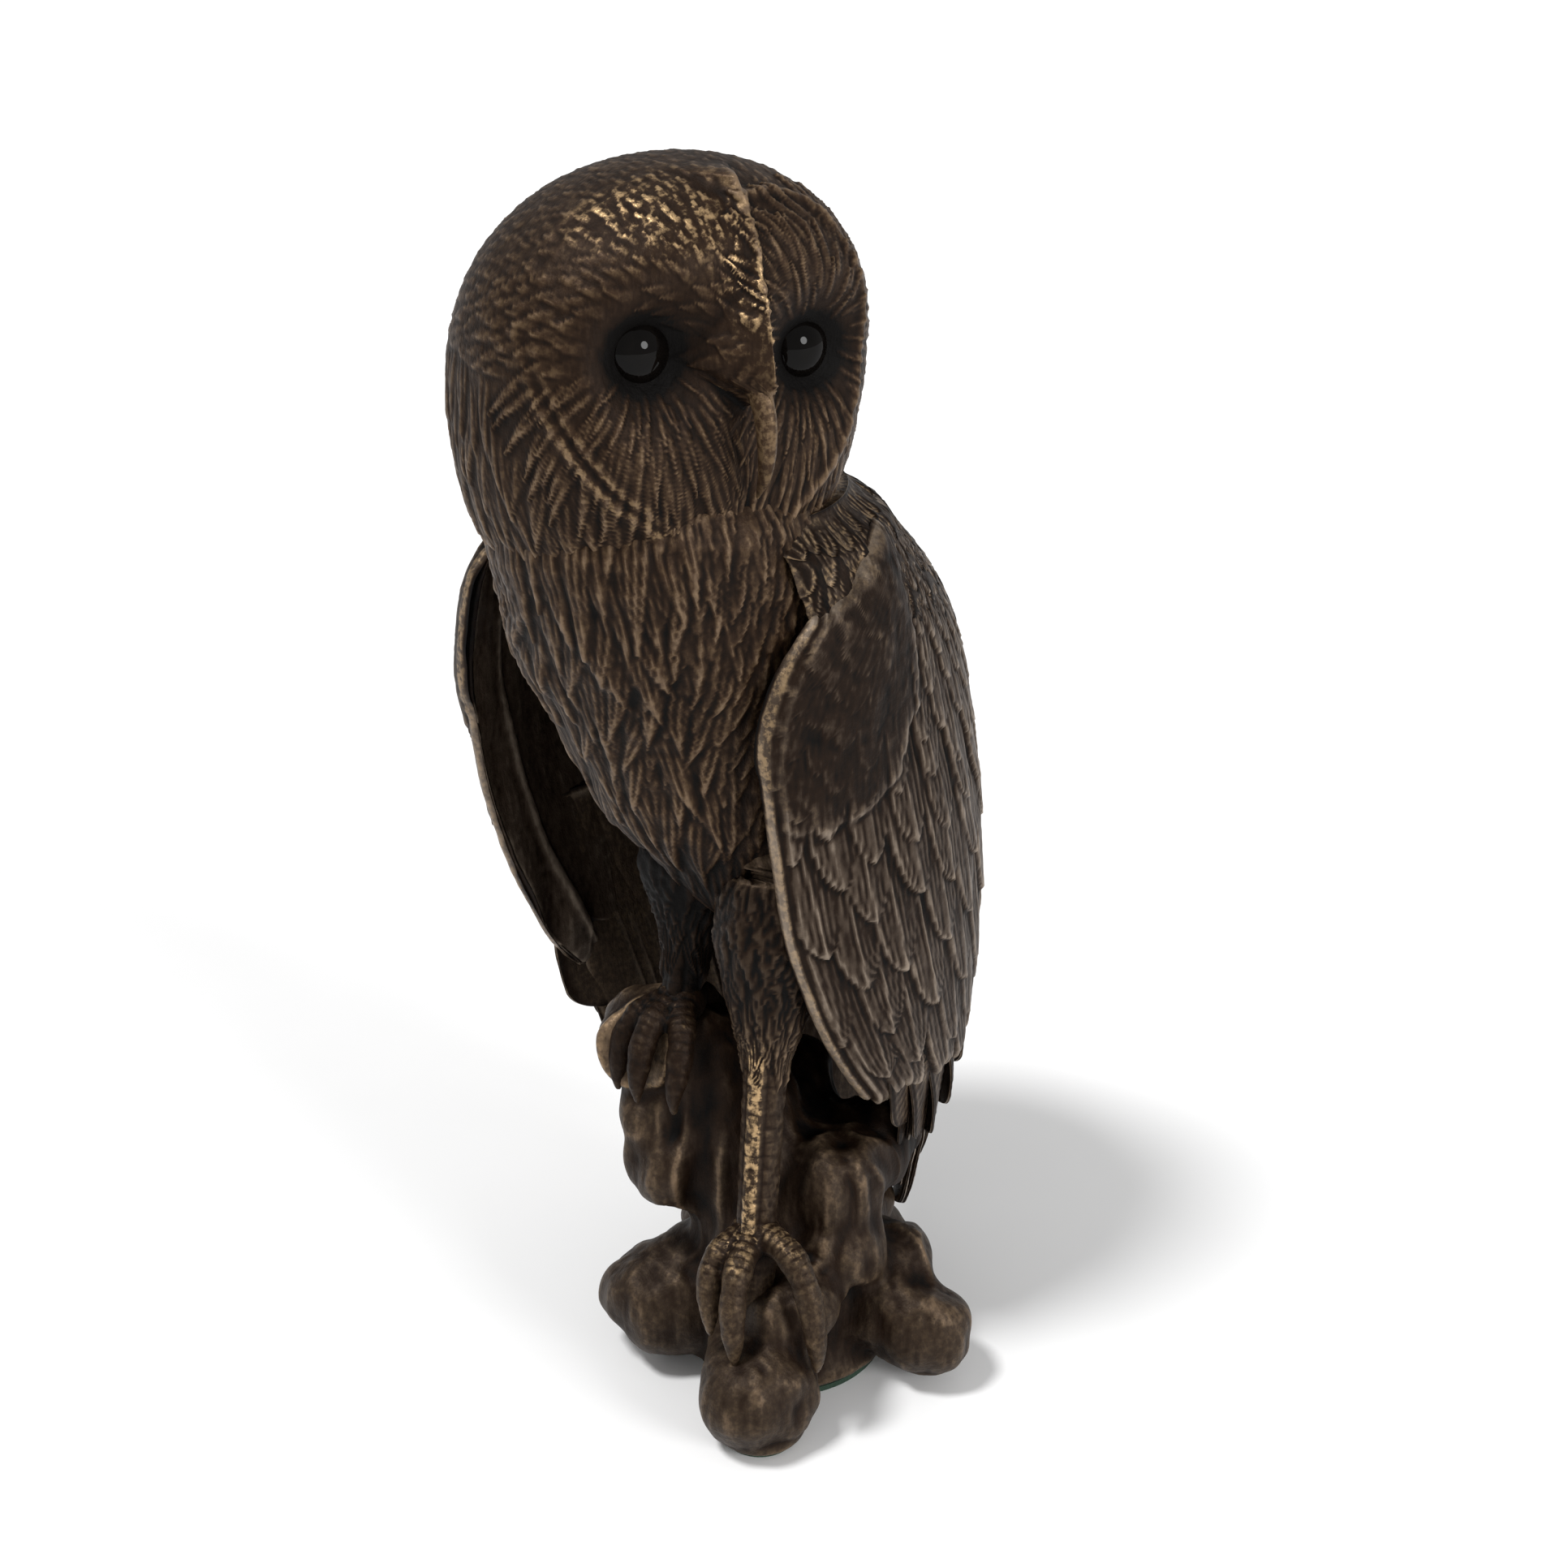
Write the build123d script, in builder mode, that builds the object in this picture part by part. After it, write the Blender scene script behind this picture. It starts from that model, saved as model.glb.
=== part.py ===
from build123d import *
import math
import os

# A barn owl in patinated cast bronze, standing on a knobbly stump.
# Millimetres, +Z up. The origin is on the underside of the felt, below the middle of the stump.
# The body faces -Y, so the owl's own left is +X, and its head is turned to its left.
# The castings are hollow shells, pinned and brazed together, as a foundry makes them.

# ---- overall sizes ----
total_height = 200.0
neck_height = 150.0
felt_thickness = 1.0

# ---- walls and fits ----
body_wall = 3.0
wing_wall = 3.5
feather_thickness = 2.2
tail_thickness = 2.5
pin_radius = 2.0
pin_clearance = 0.1
stud_radius = 1.5
stud_clearance = 0.1
spine_gap = 0.6
felt_inset = 1.5

# ---- head ----
head_x = -16.2
head_y = -9.3
head_turn = 70.0
head_half_width = 30.5
head_half_depth = 27.0
eye_radius = 5.3
eye_height = 175.8
eye_lateral = 13.0
eye_forward = 13.5
eye_tilt = 1.6
crown_lean_left = 3.4
crown_lean_forward = 2.2
eye_clearance = 0.05
socket_radius = 15.5
socket_forward = 30.5
socket_lateral = 12.5
beak_tip_height = 156.5
brow_height = 192.0
beak_forward = 28.0
neck_pin_length = 24.0

# ---- torso ----
spine_x = -19.0
torso_bottom = 76.0
torso_floor = 89.0
hip_drop = 6.0

# ---- wings ----
wing_pin_height = 115.0
wing_boss_radius = 9.0
wing_pin_bury = 8.0

# ---- tail ----
tail_half_width = 12.0
tail_bottom = 17.0
tail_top = 86.0
tail_root_height = 9.0
tail_root_half_width = 7.0
tail_root_front = 22.0
tail_root_drop = 1.0
tail_clearance = 1.6

# ---- legs and feet ----
left_hip = Vector(1.0, -5.0, 92.0)
left_ankle = Vector(5.5, -17.0, 33.0)
right_hip = Vector(-17.0, -1.0, 93.0)
right_ankle = Vector(-14.5, -10.0, 66.0)
thigh_radius = 9.0
knee_radius = 5.2
shank_radius = 3.1
left_thigh_length = 25.0
right_thigh_length = 15.0
ankle_radius = 4.2
toe_radius = 2.3
talon_length = 6.0
talon_tip_radius = 0.4
stud_depth = 13.0

# ---- stump ----
column_top = 61.0
root_share = 0.72


oval_steps = 12


def scaled_height(level):
    """Height of a head level that runs from 0 at the neck to 1 at the crown."""
    return neck_height + level * (total_height - neck_height)


def oval_points(x, y, half_width, half_depth):
    """Evenly turned points round an ellipse, always starting on its +X end."""
    turns = [2 * math.pi * step / oval_steps for step in range(oval_steps)]
    return [(x + half_width * math.cos(turn), y + half_depth * math.sin(turn)) for turn in turns]


def oval_loft(sections, inset=0.0):
    """Solid through level ovals, each (z, x, y, half width, half depth), all drawn in by inset."""
    with BuildPart() as solid:
        for z, x, y, half_width, half_depth in sections:
            with BuildSketch(Plane.XY.offset(z)):
                with BuildLine():
                    Spline(*oval_points(x, y, half_width - inset, half_depth - inset), periodic=True)
                make_face()
        loft()
    return solid.part


def box_between(low, high):
    """Box with two opposite corners at low and high."""
    size = [b - a for a, b in zip(low, high)]
    with BuildPart() as solid:
        with Locations(tuple(low)):
            Box(*size, align=(Align.MIN, Align.MIN, Align.MIN))
    return solid.part


def rod_between(start, end, radius):
    """Round rod from one point to another."""
    start = Vector(*start)
    axis = Vector(*end) - start
    with BuildPart() as solid:
        with BuildSketch(Plane(origin=start, z_dir=axis)):
            Circle(radius)
        extrude(amount=axis.length)
    return solid.part


def side_prism(outline, start_x, amount):
    """Prism along X from a closed smooth outline of (y, z) points."""
    with BuildPart() as solid:
        with BuildSketch(Plane.YZ.offset(start_x)):
            with BuildLine():
                Spline(*outline, periodic=True)
            make_face()
        extrude(amount=amount)
    return solid.part


# ---------------------------------------------------------------- head
turn = math.radians(head_turn)
face_forward = Vector(math.sin(turn), -math.cos(turn), 0)
face_left = Vector(math.cos(turn), math.sin(turn), 0)


def head_point(left, forward, z):
    """Point of the head, from distances to its own left, forward, and the height."""
    return Vector(head_x, head_y, z) + face_left * left + face_forward * forward


# level between neck and crown, share of the half width, share of the half depth
head_rings = (
    (0.00, 0.86, 0.88),
    (0.13, 0.94, 0.95),
    (0.30, 0.99, 0.99),
    (0.50, 1.00, 1.00),
    (0.70, 0.92, 0.93),
    (0.86, 0.70, 0.70),
    (0.96, 0.40, 0.40),
    (1.00, 0.18, 0.18),
)


def head_loft(inset):
    """Head shape with its face turned to the owl's left, drawn in by inset."""
    with BuildPart() as solid:
        for level, wide, deep in head_rings:
            lean_left = crown_lean_left * (level - 0.5)
            lean_forward = crown_lean_forward * (level - 0.5)
            middle = head_point(lean_left, lean_forward, scaled_height(level))
            with BuildSketch(Plane(origin=middle, x_dir=face_left, z_dir=(0, 0, 1))):
                Ellipse(max(head_half_width * wide - inset, 1), max(head_half_depth * deep - inset, 0.9))
        loft()
    return solid.part


# height, forward place, half width and half length of each ring of the nose ridge and beak
ridge_rings = (
    (brow_height, beak_forward - 9.0, 1.6, 2.6),
    (brow_height - 10.0, beak_forward - 6.5, 3.0, 5.0),
    (brow_height - 20.0, beak_forward - 4.0, 3.2, 5.2),
    (beak_tip_height + 7.0, beak_forward - 1.5, 2.6, 3.6),
    (beak_tip_height, beak_forward, 0.7, 1.0),
)
with BuildPart() as ridge:
    for ring_z, ring_forward, ring_half_width, ring_half_length in ridge_rings:
        with BuildSketch(Plane(origin=head_point(0, ring_forward, ring_z), x_dir=face_left, z_dir=(0, 0, 1))):
            Ellipse(ring_half_width, ring_half_length)
    loft()

eye_centers = {
    "left": head_point(eye_lateral, eye_forward, eye_height - eye_tilt),
    "right": head_point(-eye_lateral, eye_forward, eye_height + eye_tilt),
}
socket_centers = (
    head_point(socket_lateral, socket_forward, eye_height - eye_tilt),
    head_point(-socket_lateral, socket_forward, eye_height + eye_tilt),
)

# The hollow stops behind the eyes, so that the face keeps its full wall.
hollow_front = eye_forward - eye_radius - body_wall
hollow_reach = 3 * head_half_width
with BuildPart() as head_hollow:
    add(head_loft(body_wall))
    slab_height = total_height - neck_height - 2 * body_wall
    slab_origin = head_point(0, hollow_front - hollow_reach / 2, neck_height + body_wall + slab_height / 2)
    with BuildSketch(Plane(origin=slab_origin, x_dir=face_left, z_dir=(0, 0, 1))):
        Rectangle(hollow_reach, hollow_reach)
    extrude(amount=slab_height / 2, both=True, mode=Mode.INTERSECT)

neck_pin_low = neck_height - neck_pin_length / 2
neck_pin_x = head_x + 2.0
neck_pin_y = head_y + 6.0
neck_bore = rod_between(
    (neck_pin_x, neck_pin_y, neck_pin_low - pin_clearance),
    (neck_pin_x, neck_pin_y, neck_pin_low + neck_pin_length + pin_clearance),
    pin_radius + pin_clearance,
)

with BuildPart() as head:
    add(head_loft(0.0))
    with Locations(*socket_centers):
        Sphere(socket_radius, mode=Mode.SUBTRACT)
    add(ridge.part)
    add(head_hollow.part, mode=Mode.SUBTRACT)
    for eye_center in eye_centers.values():
        with Locations(Plane(origin=eye_center, z_dir=face_forward)):
            Sphere(eye_radius + eye_clearance, mode=Mode.SUBTRACT)
    add(neck_bore, mode=Mode.SUBTRACT)

with BuildPart() as eye_left:
    with Locations(eye_centers["left"]):
        Sphere(eye_radius)

with BuildPart() as eye_right:
    with Locations(eye_centers["right"]):
        Sphere(eye_radius)

# ---------------------------------------------------------------- torso
torso_sections = (
    (neck_height, -15.0, -5.0, 25.5, 26.0),
    (neck_height - 10.0, -17.0, -2.0, 27.0, 27.2),
    (neck_height - 22.0, -18.0, 1.0, 27.0, 28.5),
    (wing_pin_height, -16.0, 3.0, 25.0, 28.0),
    (torso_bottom + 24.0, -12.5, 6.5, 21.0, 26.5),
    (torso_bottom + 14.0, -9.0, 10.0, 16.5, 23.0),
    (torso_bottom + 5.0, -7.0, 12.5, 12.5, 18.0),
    (torso_bottom, -6.0, 14.0, 9.0, 14.0),
)
torso_solid = oval_loft(torso_sections)
torso_reach = 2 * head_half_width
torso_slab = box_between(
    (spine_x - torso_reach, -torso_reach, torso_floor),
    (spine_x + torso_reach, torso_reach, neck_height - body_wall),
)

# ---------------------------------------------------------------- wings
# Each wing is cast on one half of a cloak that hangs round the back of the body.
# Height, x, y, half depth, half width on the owl's left, half width on its right.
cloak_sections = (
    (neck_height - 2.0, spine_x + 3.2, -3.5, 27.0, 26.5, 27.0),
    (neck_height - 12.0, spine_x + 1.5, 1.5, 33.0, 31.5, 35.0),
    (neck_height - 20.0, spine_x + 0.5, 6.0, 36.5, 34.5, 39.5),
    (wing_pin_height, spine_x, 9.5, 39.5, 36.5, 43.5),
    (95.0, spine_x, 11.0, 40.0, 38.5, 42.5),
    (70.0, spine_x, 12.5, 39.5, 38.5, 36.5),
    (45.0, spine_x, 14.0, 37.0, 35.5, 31.0),
    (14.0, spine_x, 16.0, 30.0, 28.5, 24.0),
)
left_cloak = tuple((z, x, y, left, depth) for z, x, y, depth, left, _ in cloak_sections)
right_cloak = tuple((z, x, y, right, depth) for z, x, y, depth, _, right in cloak_sections)

left_wing_outline = (
    (-18.0, 124.0),
    (-12.0, 138.0),
    (6.0, 146.5),
    (30.0, 146.0),
    (52.0, 128.0),
    (56.0, 90.0),
    (52.0, 55.0),
    (38.0, 41.0),
    (12.0, 43.0),
    (0.0, 54.0),
    (-8.0, 67.0),
    (-14.0, 86.0),
    (-16.0, 105.0),
)
right_wing_outline = (
    (-16.0, 122.0),
    (-12.0, 134.0),
    (6.0, 146.5),
    (30.0, 146.0),
    (52.0, 128.0),
    (56.0, 90.0),
    (52.0, 55.0),
    (38.0, 41.0),
    (18.0, 44.0),
    (2.0, 57.0),
    (-9.0, 80.0),
    (-14.0, 102.0),
)
flight_outline = (
    (0.0, 84.0),
    (20.0, 92.0),
    (48.0, 84.0),
    (50.0, 60.0),
    (42.0, 36.0),
    (31.0, 20.0),
    (25.0, 20.0),
    (13.0, 42.0),
    (4.0, 64.0),
)
wing_reach = 60.0


def section_at(sections, height):
    """The section of a loft that lies at one of its named heights."""
    return next(section for section in sections if section[0] == height)


def wing_shell(sections, outline, side):
    """Outer cloak shell of one wing, with the boss that meets the torso; side is +1 left, -1 right."""
    outer = oval_loft(sections)
    inner = oval_loft(sections, wing_wall)
    pin_y = section_at(sections, wing_pin_height)[2]
    boss = rod_between(
        (spine_x, pin_y, wing_pin_height),
        (spine_x + side * wing_reach, pin_y, wing_pin_height),
        wing_boss_radius,
    )
    prism = side_prism(outline, spine_x + side * spine_gap / 2, side * wing_reach)
    with BuildPart() as solid:
        add(outer)
        add(inner, mode=Mode.SUBTRACT)
        add(prism, mode=Mode.INTERSECT)
    with BuildPart() as boss_part:
        add(boss)
        add(outer, mode=Mode.INTERSECT)
    with BuildPart() as wing:
        add(solid.part)
        add(boss_part.part)
        add(torso_solid, mode=Mode.SUBTRACT)
    return wing.part


def feather_layer(sections, outline, side, inset, thickness):
    """Thin layer of flight feathers that lies against the inside of a wing casting."""
    prism = side_prism(outline, spine_x + side * spine_gap / 2, side * wing_reach)
    with BuildPart() as solid:
        add(oval_loft(sections, inset))
        add(oval_loft(sections, inset + thickness), mode=Mode.SUBTRACT)
        add(prism, mode=Mode.INTERSECT)
    return solid.part


def wing_pin_ends(sections, side):
    """Both ends of a wing pin: inside the torso wall and inside the wing casting."""
    height, center_x, center_y, half_width, _ = section_at(sections, wing_pin_height)
    _, torso_x, torso_y, torso_half_width, torso_half_depth = section_at(torso_sections, wing_pin_height)
    across = math.sqrt(1 - ((center_y - torso_y) / torso_half_depth) ** 2)
    inner_x = torso_x + side * (torso_half_width * across - wing_pin_bury)
    outer_x = center_x + side * (half_width - wing_wall / 2)
    return Vector(inner_x, center_y, height), Vector(outer_x, center_y, height)


def bore_for(ends, radius, clearance):
    """Bore that takes a pin, longer than the pin by the clearance at each end."""
    along = (ends[1] - ends[0]).normalized() * clearance
    return rod_between(ends[0] - along, ends[1] + along, radius + clearance)


left_pin_ends = wing_pin_ends(left_cloak, 1)
right_pin_ends = wing_pin_ends(right_cloak, -1)
left_pin_bore = bore_for(left_pin_ends, pin_radius, pin_clearance)
right_pin_bore = bore_for(right_pin_ends, pin_radius, pin_clearance)

with BuildPart() as wing_left:
    add(wing_shell(left_cloak, left_wing_outline, 1))
    add(left_pin_bore, mode=Mode.SUBTRACT)

with BuildPart() as wing_right:
    add(wing_shell(right_cloak, right_wing_outline, -1))
    add(right_pin_bore, mode=Mode.SUBTRACT)

with BuildPart() as flight_feathers_left:
    add(feather_layer(left_cloak, flight_outline, 1, wing_wall, feather_thickness))
    add(torso_solid, mode=Mode.SUBTRACT)

with BuildPart() as flight_feathers_right:
    add(feather_layer(right_cloak, flight_outline, -1, wing_wall, feather_thickness))
    add(torso_solid, mode=Mode.SUBTRACT)

# ---------------------------------------------------------------- tail
tail_inset = wing_wall + feather_thickness + tail_clearance
tail_corner = 5.0
tail_sections = tuple((z, x, y, min(left, right), depth) for z, x, y, depth, left, right in cloak_sections)
tail_outside = oval_loft(tail_sections, tail_inset)
tail_inside = oval_loft(tail_sections, tail_inset + tail_thickness)

with BuildPart() as tail_outline:
    with BuildSketch(Plane.XZ.offset(-wing_reach)):
        with Locations((spine_x, (tail_bottom + tail_top) / 2)):
            RectangleRounded(2 * tail_half_width, tail_top - tail_bottom, tail_corner)
    extrude(amount=wing_reach - tail_root_front)

tail_root = box_between(
    (spine_x - tail_root_half_width, tail_root_front, tail_top - tail_root_height),
    (spine_x + tail_root_half_width, wing_reach, tail_top - tail_root_drop),
)
with BuildPart() as tail_root_part:
    add(tail_root)
    add(tail_outside, mode=Mode.INTERSECT)

with BuildPart() as tail:
    add(tail_outside)
    add(tail_inside, mode=Mode.SUBTRACT)
    add(tail_outline.part, mode=Mode.INTERSECT)
    add(tail_root_part.part)
    add(torso_solid, mode=Mode.SUBTRACT)

# ---------------------------------------------------------------- feet
# Toes as arcs: name, middle point and tip, both from the ankle.
left_toes = (
    ("inner", Vector(-2.5, -6.5, -1.5), Vector(-1.5, -10.5, -7.5)),
    ("middle", Vector(2.5, -8.5, -2.5), Vector(4.0, -11.5, -11.0)),
    ("outer", Vector(9.5, -2.0, -1.0), Vector(14.0, -3.0, -13.0)),
    ("hind", Vector(-3.5, 5.5, -2.0), Vector(-5.5, 8.5, -8.0)),
)
right_toes = (
    ("inner", Vector(4.5, -5.5, -2.0), Vector(6.0, -9.0, -8.5)),
    ("middle", Vector(-0.5, -7.0, -1.5), Vector(-0.5, -10.5, -8.0)),
    ("outer", Vector(-4.5, -5.5, -2.0), Vector(-6.0, -8.5, -8.5)),
    ("hind", Vector(0.0, 6.0, -2.0), Vector(0.5, 9.0, -8.0)),
)


def foot_solid(ankle, toes):
    """Foot with four toes that curl over the stump, each ending in a talon."""
    with BuildPart() as solid:
        with Locations(ankle):
            Sphere(ankle_radius)
        for _, middle, tip in toes:
            with BuildLine() as toe_line:
                ThreePointArc(ankle, ankle + middle, ankle + tip)
            toe_path = toe_line.edge()
            with BuildSketch(Plane(origin=toe_path @ 0, z_dir=toe_path % 0)):
                Circle(toe_radius)
            sweep(path=toe_path)
            with Locations(Plane(origin=toe_path @ 1, z_dir=toe_path % 1)):
                Cone(toe_radius, talon_tip_radius, talon_length, align=(Align.CENTER, Align.CENTER, Align.MIN))
    return solid.part


def stud_ends(hip, ankle):
    """Ends of the threaded stud that runs down one leg and into the stump."""
    along = (ankle - hip).normalized()
    return hip, ankle + along * stud_depth


left_stud_ends = stud_ends(left_hip, left_ankle)
right_stud_ends = stud_ends(right_hip, right_ankle)
left_stud_bore = bore_for(left_stud_ends, stud_radius, stud_clearance)
right_stud_bore = bore_for(right_stud_ends, stud_radius, stud_clearance)

left_foot_solid = foot_solid(left_ankle, left_toes)
right_foot_solid = foot_solid(right_ankle, right_toes)

with BuildPart() as foot_left:
    add(left_foot_solid)
    add(left_stud_bore, mode=Mode.SUBTRACT)

with BuildPart() as foot_right:
    add(right_foot_solid)
    add(right_stud_bore, mode=Mode.SUBTRACT)


# ---------------------------------------------------------------- legs
def leg_solid(hip, ankle, thigh_length):
    """Feathered thigh that narrows to a thin shank, along the straight line from hip to ankle."""
    axis = ankle - hip
    along = axis.normalized()
    rings = (
        (-hip_drop, thigh_radius * 0.9),
        (thigh_length * 0.35, thigh_radius),
        (thigh_length, knee_radius),
        (min(thigh_length + 6.0, axis.length - 3.0), shank_radius),
        (axis.length, shank_radius),
    )
    with BuildPart() as solid:
        for distance, radius in rings:
            with BuildSketch(Plane(origin=hip + along * distance, z_dir=along)):
                Circle(radius)
        loft()
    return solid.part


with BuildPart() as leg_left:
    add(leg_solid(left_hip, left_ankle, left_thigh_length))
    add(wing_left.part, mode=Mode.SUBTRACT)
    add(torso_solid, mode=Mode.SUBTRACT)
    add(left_foot_solid, mode=Mode.SUBTRACT)
    add(left_stud_bore, mode=Mode.SUBTRACT)

with BuildPart() as leg_right:
    add(leg_solid(right_hip, right_ankle, right_thigh_length))
    add(torso_solid, mode=Mode.SUBTRACT)
    add(right_foot_solid, mode=Mode.SUBTRACT)
    add(right_stud_bore, mode=Mode.SUBTRACT)

with BuildPart() as torso:
    add(torso_solid)
    with BuildPart(mode=Mode.PRIVATE) as torso_hollow:
        add(oval_loft(torso_sections, body_wall))
        add(torso_slab, mode=Mode.INTERSECT)
    add(torso_hollow.part, mode=Mode.SUBTRACT)
    for torso_bore in (neck_bore, left_pin_bore, right_pin_bore, left_stud_bore, right_stud_bore):
        add(torso_bore, mode=Mode.SUBTRACT)

# ---------------------------------------------------------------- stump
stump_floor = felt_thickness
column_sections = (
    (stump_floor, 0.0, 0.0, 17.0, 18.0),
    (stump_floor + 18.0, -1.0, -1.0, 14.0, 15.0),
    (stump_floor + 33.0, -3.5, -2.5, 12.5, 13.0),
    (stump_floor + 48.0, -9.0, -4.0, 11.0, 12.0),
    (column_top, -13.0, -5.0, 8.0, 9.0),
)
# Each lump: name, x, y, height of its centre, radius.
stump_lumps = (
    ("front_knob", 11.0, -23.5, 8.5, 10.5),
    ("front_left_knob", -15.0, -15.0, 11.5, 10.8),
    ("right_knob", 24.5, 5.0, 9.6, 8.8),
    ("right_root", 16.5, 9.0, 18.5, 7.0),
    ("back_left_knob", -20.0, 12.0, 9.0, 10.2),
    ("back_knob", 2.0, 19.0, 8.2, 9.4),
    ("left_boss", -13.5, -13.5, 37.5, 9.0),
    ("left_boss_top", -17.5, -12.5, 47.0, 7.0),
    ("left_perch", 11.0, -15.0, 20.0, 8.6),
    ("boulder", 10.0, 0.0, 36.0, 9.2),
    ("boulder_foot", 11.5, -2.0, 25.0, 8.4),
    ("hood", -20.5, -11.5, 57.5, 8.6),
    ("right_perch", -13.5, -7.5, 57.0, 8.2),
)
grounded = ("front_knob", "front_left_knob", "right_knob", "back_left_knob", "back_knob")
lump_reach = 80.0
below_floor = box_between((-lump_reach, -lump_reach, -lump_reach), (lump_reach, lump_reach, stump_floor))



def column_middle(height):
    """Middle of the column at a height, between its sections."""
    for lower, upper in zip(column_sections, column_sections[1:]):
        if height <= upper[0]:
            share = (height - lower[0]) / (upper[0] - lower[0])
            return (lower[1] + share * (upper[1] - lower[1]), lower[2] + share * (upper[2] - lower[2]), height)
    return (column_sections[-1][1], column_sections[-1][2], column_sections[-1][0])


lump_roots = [
    rod_between(column_middle(lump_z), (lump_x, lump_y, lump_z), lump_radius * root_share)
    for _, lump_x, lump_y, lump_z, lump_radius in stump_lumps
]
with BuildPart() as stump:
    add(oval_loft(column_sections))
    for lump_root in lump_roots:
        add(lump_root)
    for _, lump_x, lump_y, lump_z, lump_radius in stump_lumps:
        with Locations((lump_x, lump_y, lump_z)):
            Sphere(lump_radius)
    add(below_floor, mode=Mode.SUBTRACT)
    add(left_foot_solid, mode=Mode.SUBTRACT)
    add(right_foot_solid, mode=Mode.SUBTRACT)
    add(left_stud_bore, mode=Mode.SUBTRACT)
    add(right_stud_bore, mode=Mode.SUBTRACT)

# The felt is cut to the flat spots of the underside, inset so that it stays out of sight.
with BuildPart() as felt_pads:
    with BuildSketch(Plane.XY):
        Ellipse(column_sections[0][3] - felt_inset, column_sections[0][4] - felt_inset)
        for lump_name, lump_x, lump_y, lump_z, lump_radius in stump_lumps:
            if lump_name in grounded:
                with Locations((lump_x, lump_y)):
                    Circle(math.sqrt(lump_radius ** 2 - (lump_z - stump_floor) ** 2) - felt_inset)
    extrude(amount=felt_thickness)

# ---------------------------------------------------------------- pins and studs
with BuildPart() as neck_pin:
    with BuildSketch(Plane(origin=(neck_pin_x, neck_pin_y, neck_pin_low))):
        Circle(pin_radius)
    extrude(amount=neck_pin_length)

with BuildPart() as wing_pin_left:
    add(rod_between(*left_pin_ends, pin_radius))

with BuildPart() as wing_pin_right:
    add(rod_between(*right_pin_ends, pin_radius))

with BuildPart() as leg_stud_left:
    add(rod_between(*left_stud_ends, stud_radius))

with BuildPart() as leg_stud_right:
    add(rod_between(*right_stud_ends, stud_radius))

# ---------------------------------------------------------------- files
finished = {
    "head": head,
    "eye_left": eye_left,
    "eye_right": eye_right,
    "torso": torso,
    "wing_left": wing_left,
    "wing_right": wing_right,
    "flight_feathers_left": flight_feathers_left,
    "flight_feathers_right": flight_feathers_right,
    "tail": tail,
    "leg_left": leg_left,
    "leg_right": leg_right,
    "foot_left": foot_left,
    "foot_right": foot_right,
    "stump": stump,
    "felt_pads": felt_pads,
    "neck_pin": neck_pin,
    "wing_pin_left": wing_pin_left,
    "wing_pin_right": wing_pin_right,
    "leg_stud_left": leg_stud_left,
    "leg_stud_right": leg_stud_right,
}
os.makedirs("parts", exist_ok=True)
for label, piece in finished.items():
    piece.part.label = label
    export_step(piece.part, f"parts/{label}.step")
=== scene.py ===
import logging
import math
from dataclasses import dataclass, field, replace
from enum import Enum
from typing import Callable, Optional, Sequence, Union

import bpy
import numpy as np
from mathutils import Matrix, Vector


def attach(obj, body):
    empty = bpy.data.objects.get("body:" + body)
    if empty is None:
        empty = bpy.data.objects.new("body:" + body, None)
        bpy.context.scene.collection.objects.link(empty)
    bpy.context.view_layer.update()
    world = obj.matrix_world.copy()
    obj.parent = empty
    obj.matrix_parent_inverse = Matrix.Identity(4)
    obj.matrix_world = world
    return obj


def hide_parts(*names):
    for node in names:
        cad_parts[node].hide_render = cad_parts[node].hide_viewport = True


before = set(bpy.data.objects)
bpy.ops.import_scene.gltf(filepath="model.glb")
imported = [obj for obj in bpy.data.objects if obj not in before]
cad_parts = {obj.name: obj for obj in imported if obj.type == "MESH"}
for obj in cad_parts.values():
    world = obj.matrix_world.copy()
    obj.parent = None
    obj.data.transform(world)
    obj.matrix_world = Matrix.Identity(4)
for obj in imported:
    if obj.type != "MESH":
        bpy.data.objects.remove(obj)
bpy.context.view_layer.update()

log = logging.getLogger("owl")
Array = np.ndarray
Colour = tuple[float, float, float]
Knots = Sequence[tuple[float, ...]]

MM = 0.001
ROOT_BODY = "root"
HASH_STEPS = np.array([73856093, 19349663, 83492791])
HASH_SEED = 26544357


# ------------------------------------------------------------------ numbers
def unit(vectors: Array) -> Array:
    """Vectors scaled to length one."""
    return vectors / (np.linalg.norm(vectors, axis=-1, keepdims=True) + 1e-12)


def ease(low: float, high: float, value: Array) -> Array:
    """Smooth rise from 0 at low to 1 at high.

    Args:
        low: value where the rise starts.
        high: value where it ends; it may be below low, for a fall.
        value: values to map.

    Returns:
        The eased share, from 0 to 1.
    """
    share = np.clip((value - low) / (high - low), 0.0, 1.0)
    return share * share * (3.0 - 2.0 * share)


def bump(value: Array, middle: float, width: float) -> Array:
    """Bell of height one round middle."""
    return np.exp(-(((value - middle) / width) ** 2))


def profile(height: Array, knots: Knots, column: int, soften: float = 3.0) -> Array:
    """Value of one column of a table at a height, with its corners rounded.

    Args:
        height: heights to read the table at.
        knots: rows that each start with a height.
        column: column to read.
        soften: half the reach of the rounding, in millimetres.

    Returns:
        The value at each height.
    """
    table = np.array(sorted(knots), float)
    steps = (-2.0, -1.0, 0.0, 1.0, 2.0)
    reads = [np.interp(height + step * soften, table[:, 0], table[:, column]) for step in steps]
    return np.mean(reads, axis=0)


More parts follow.
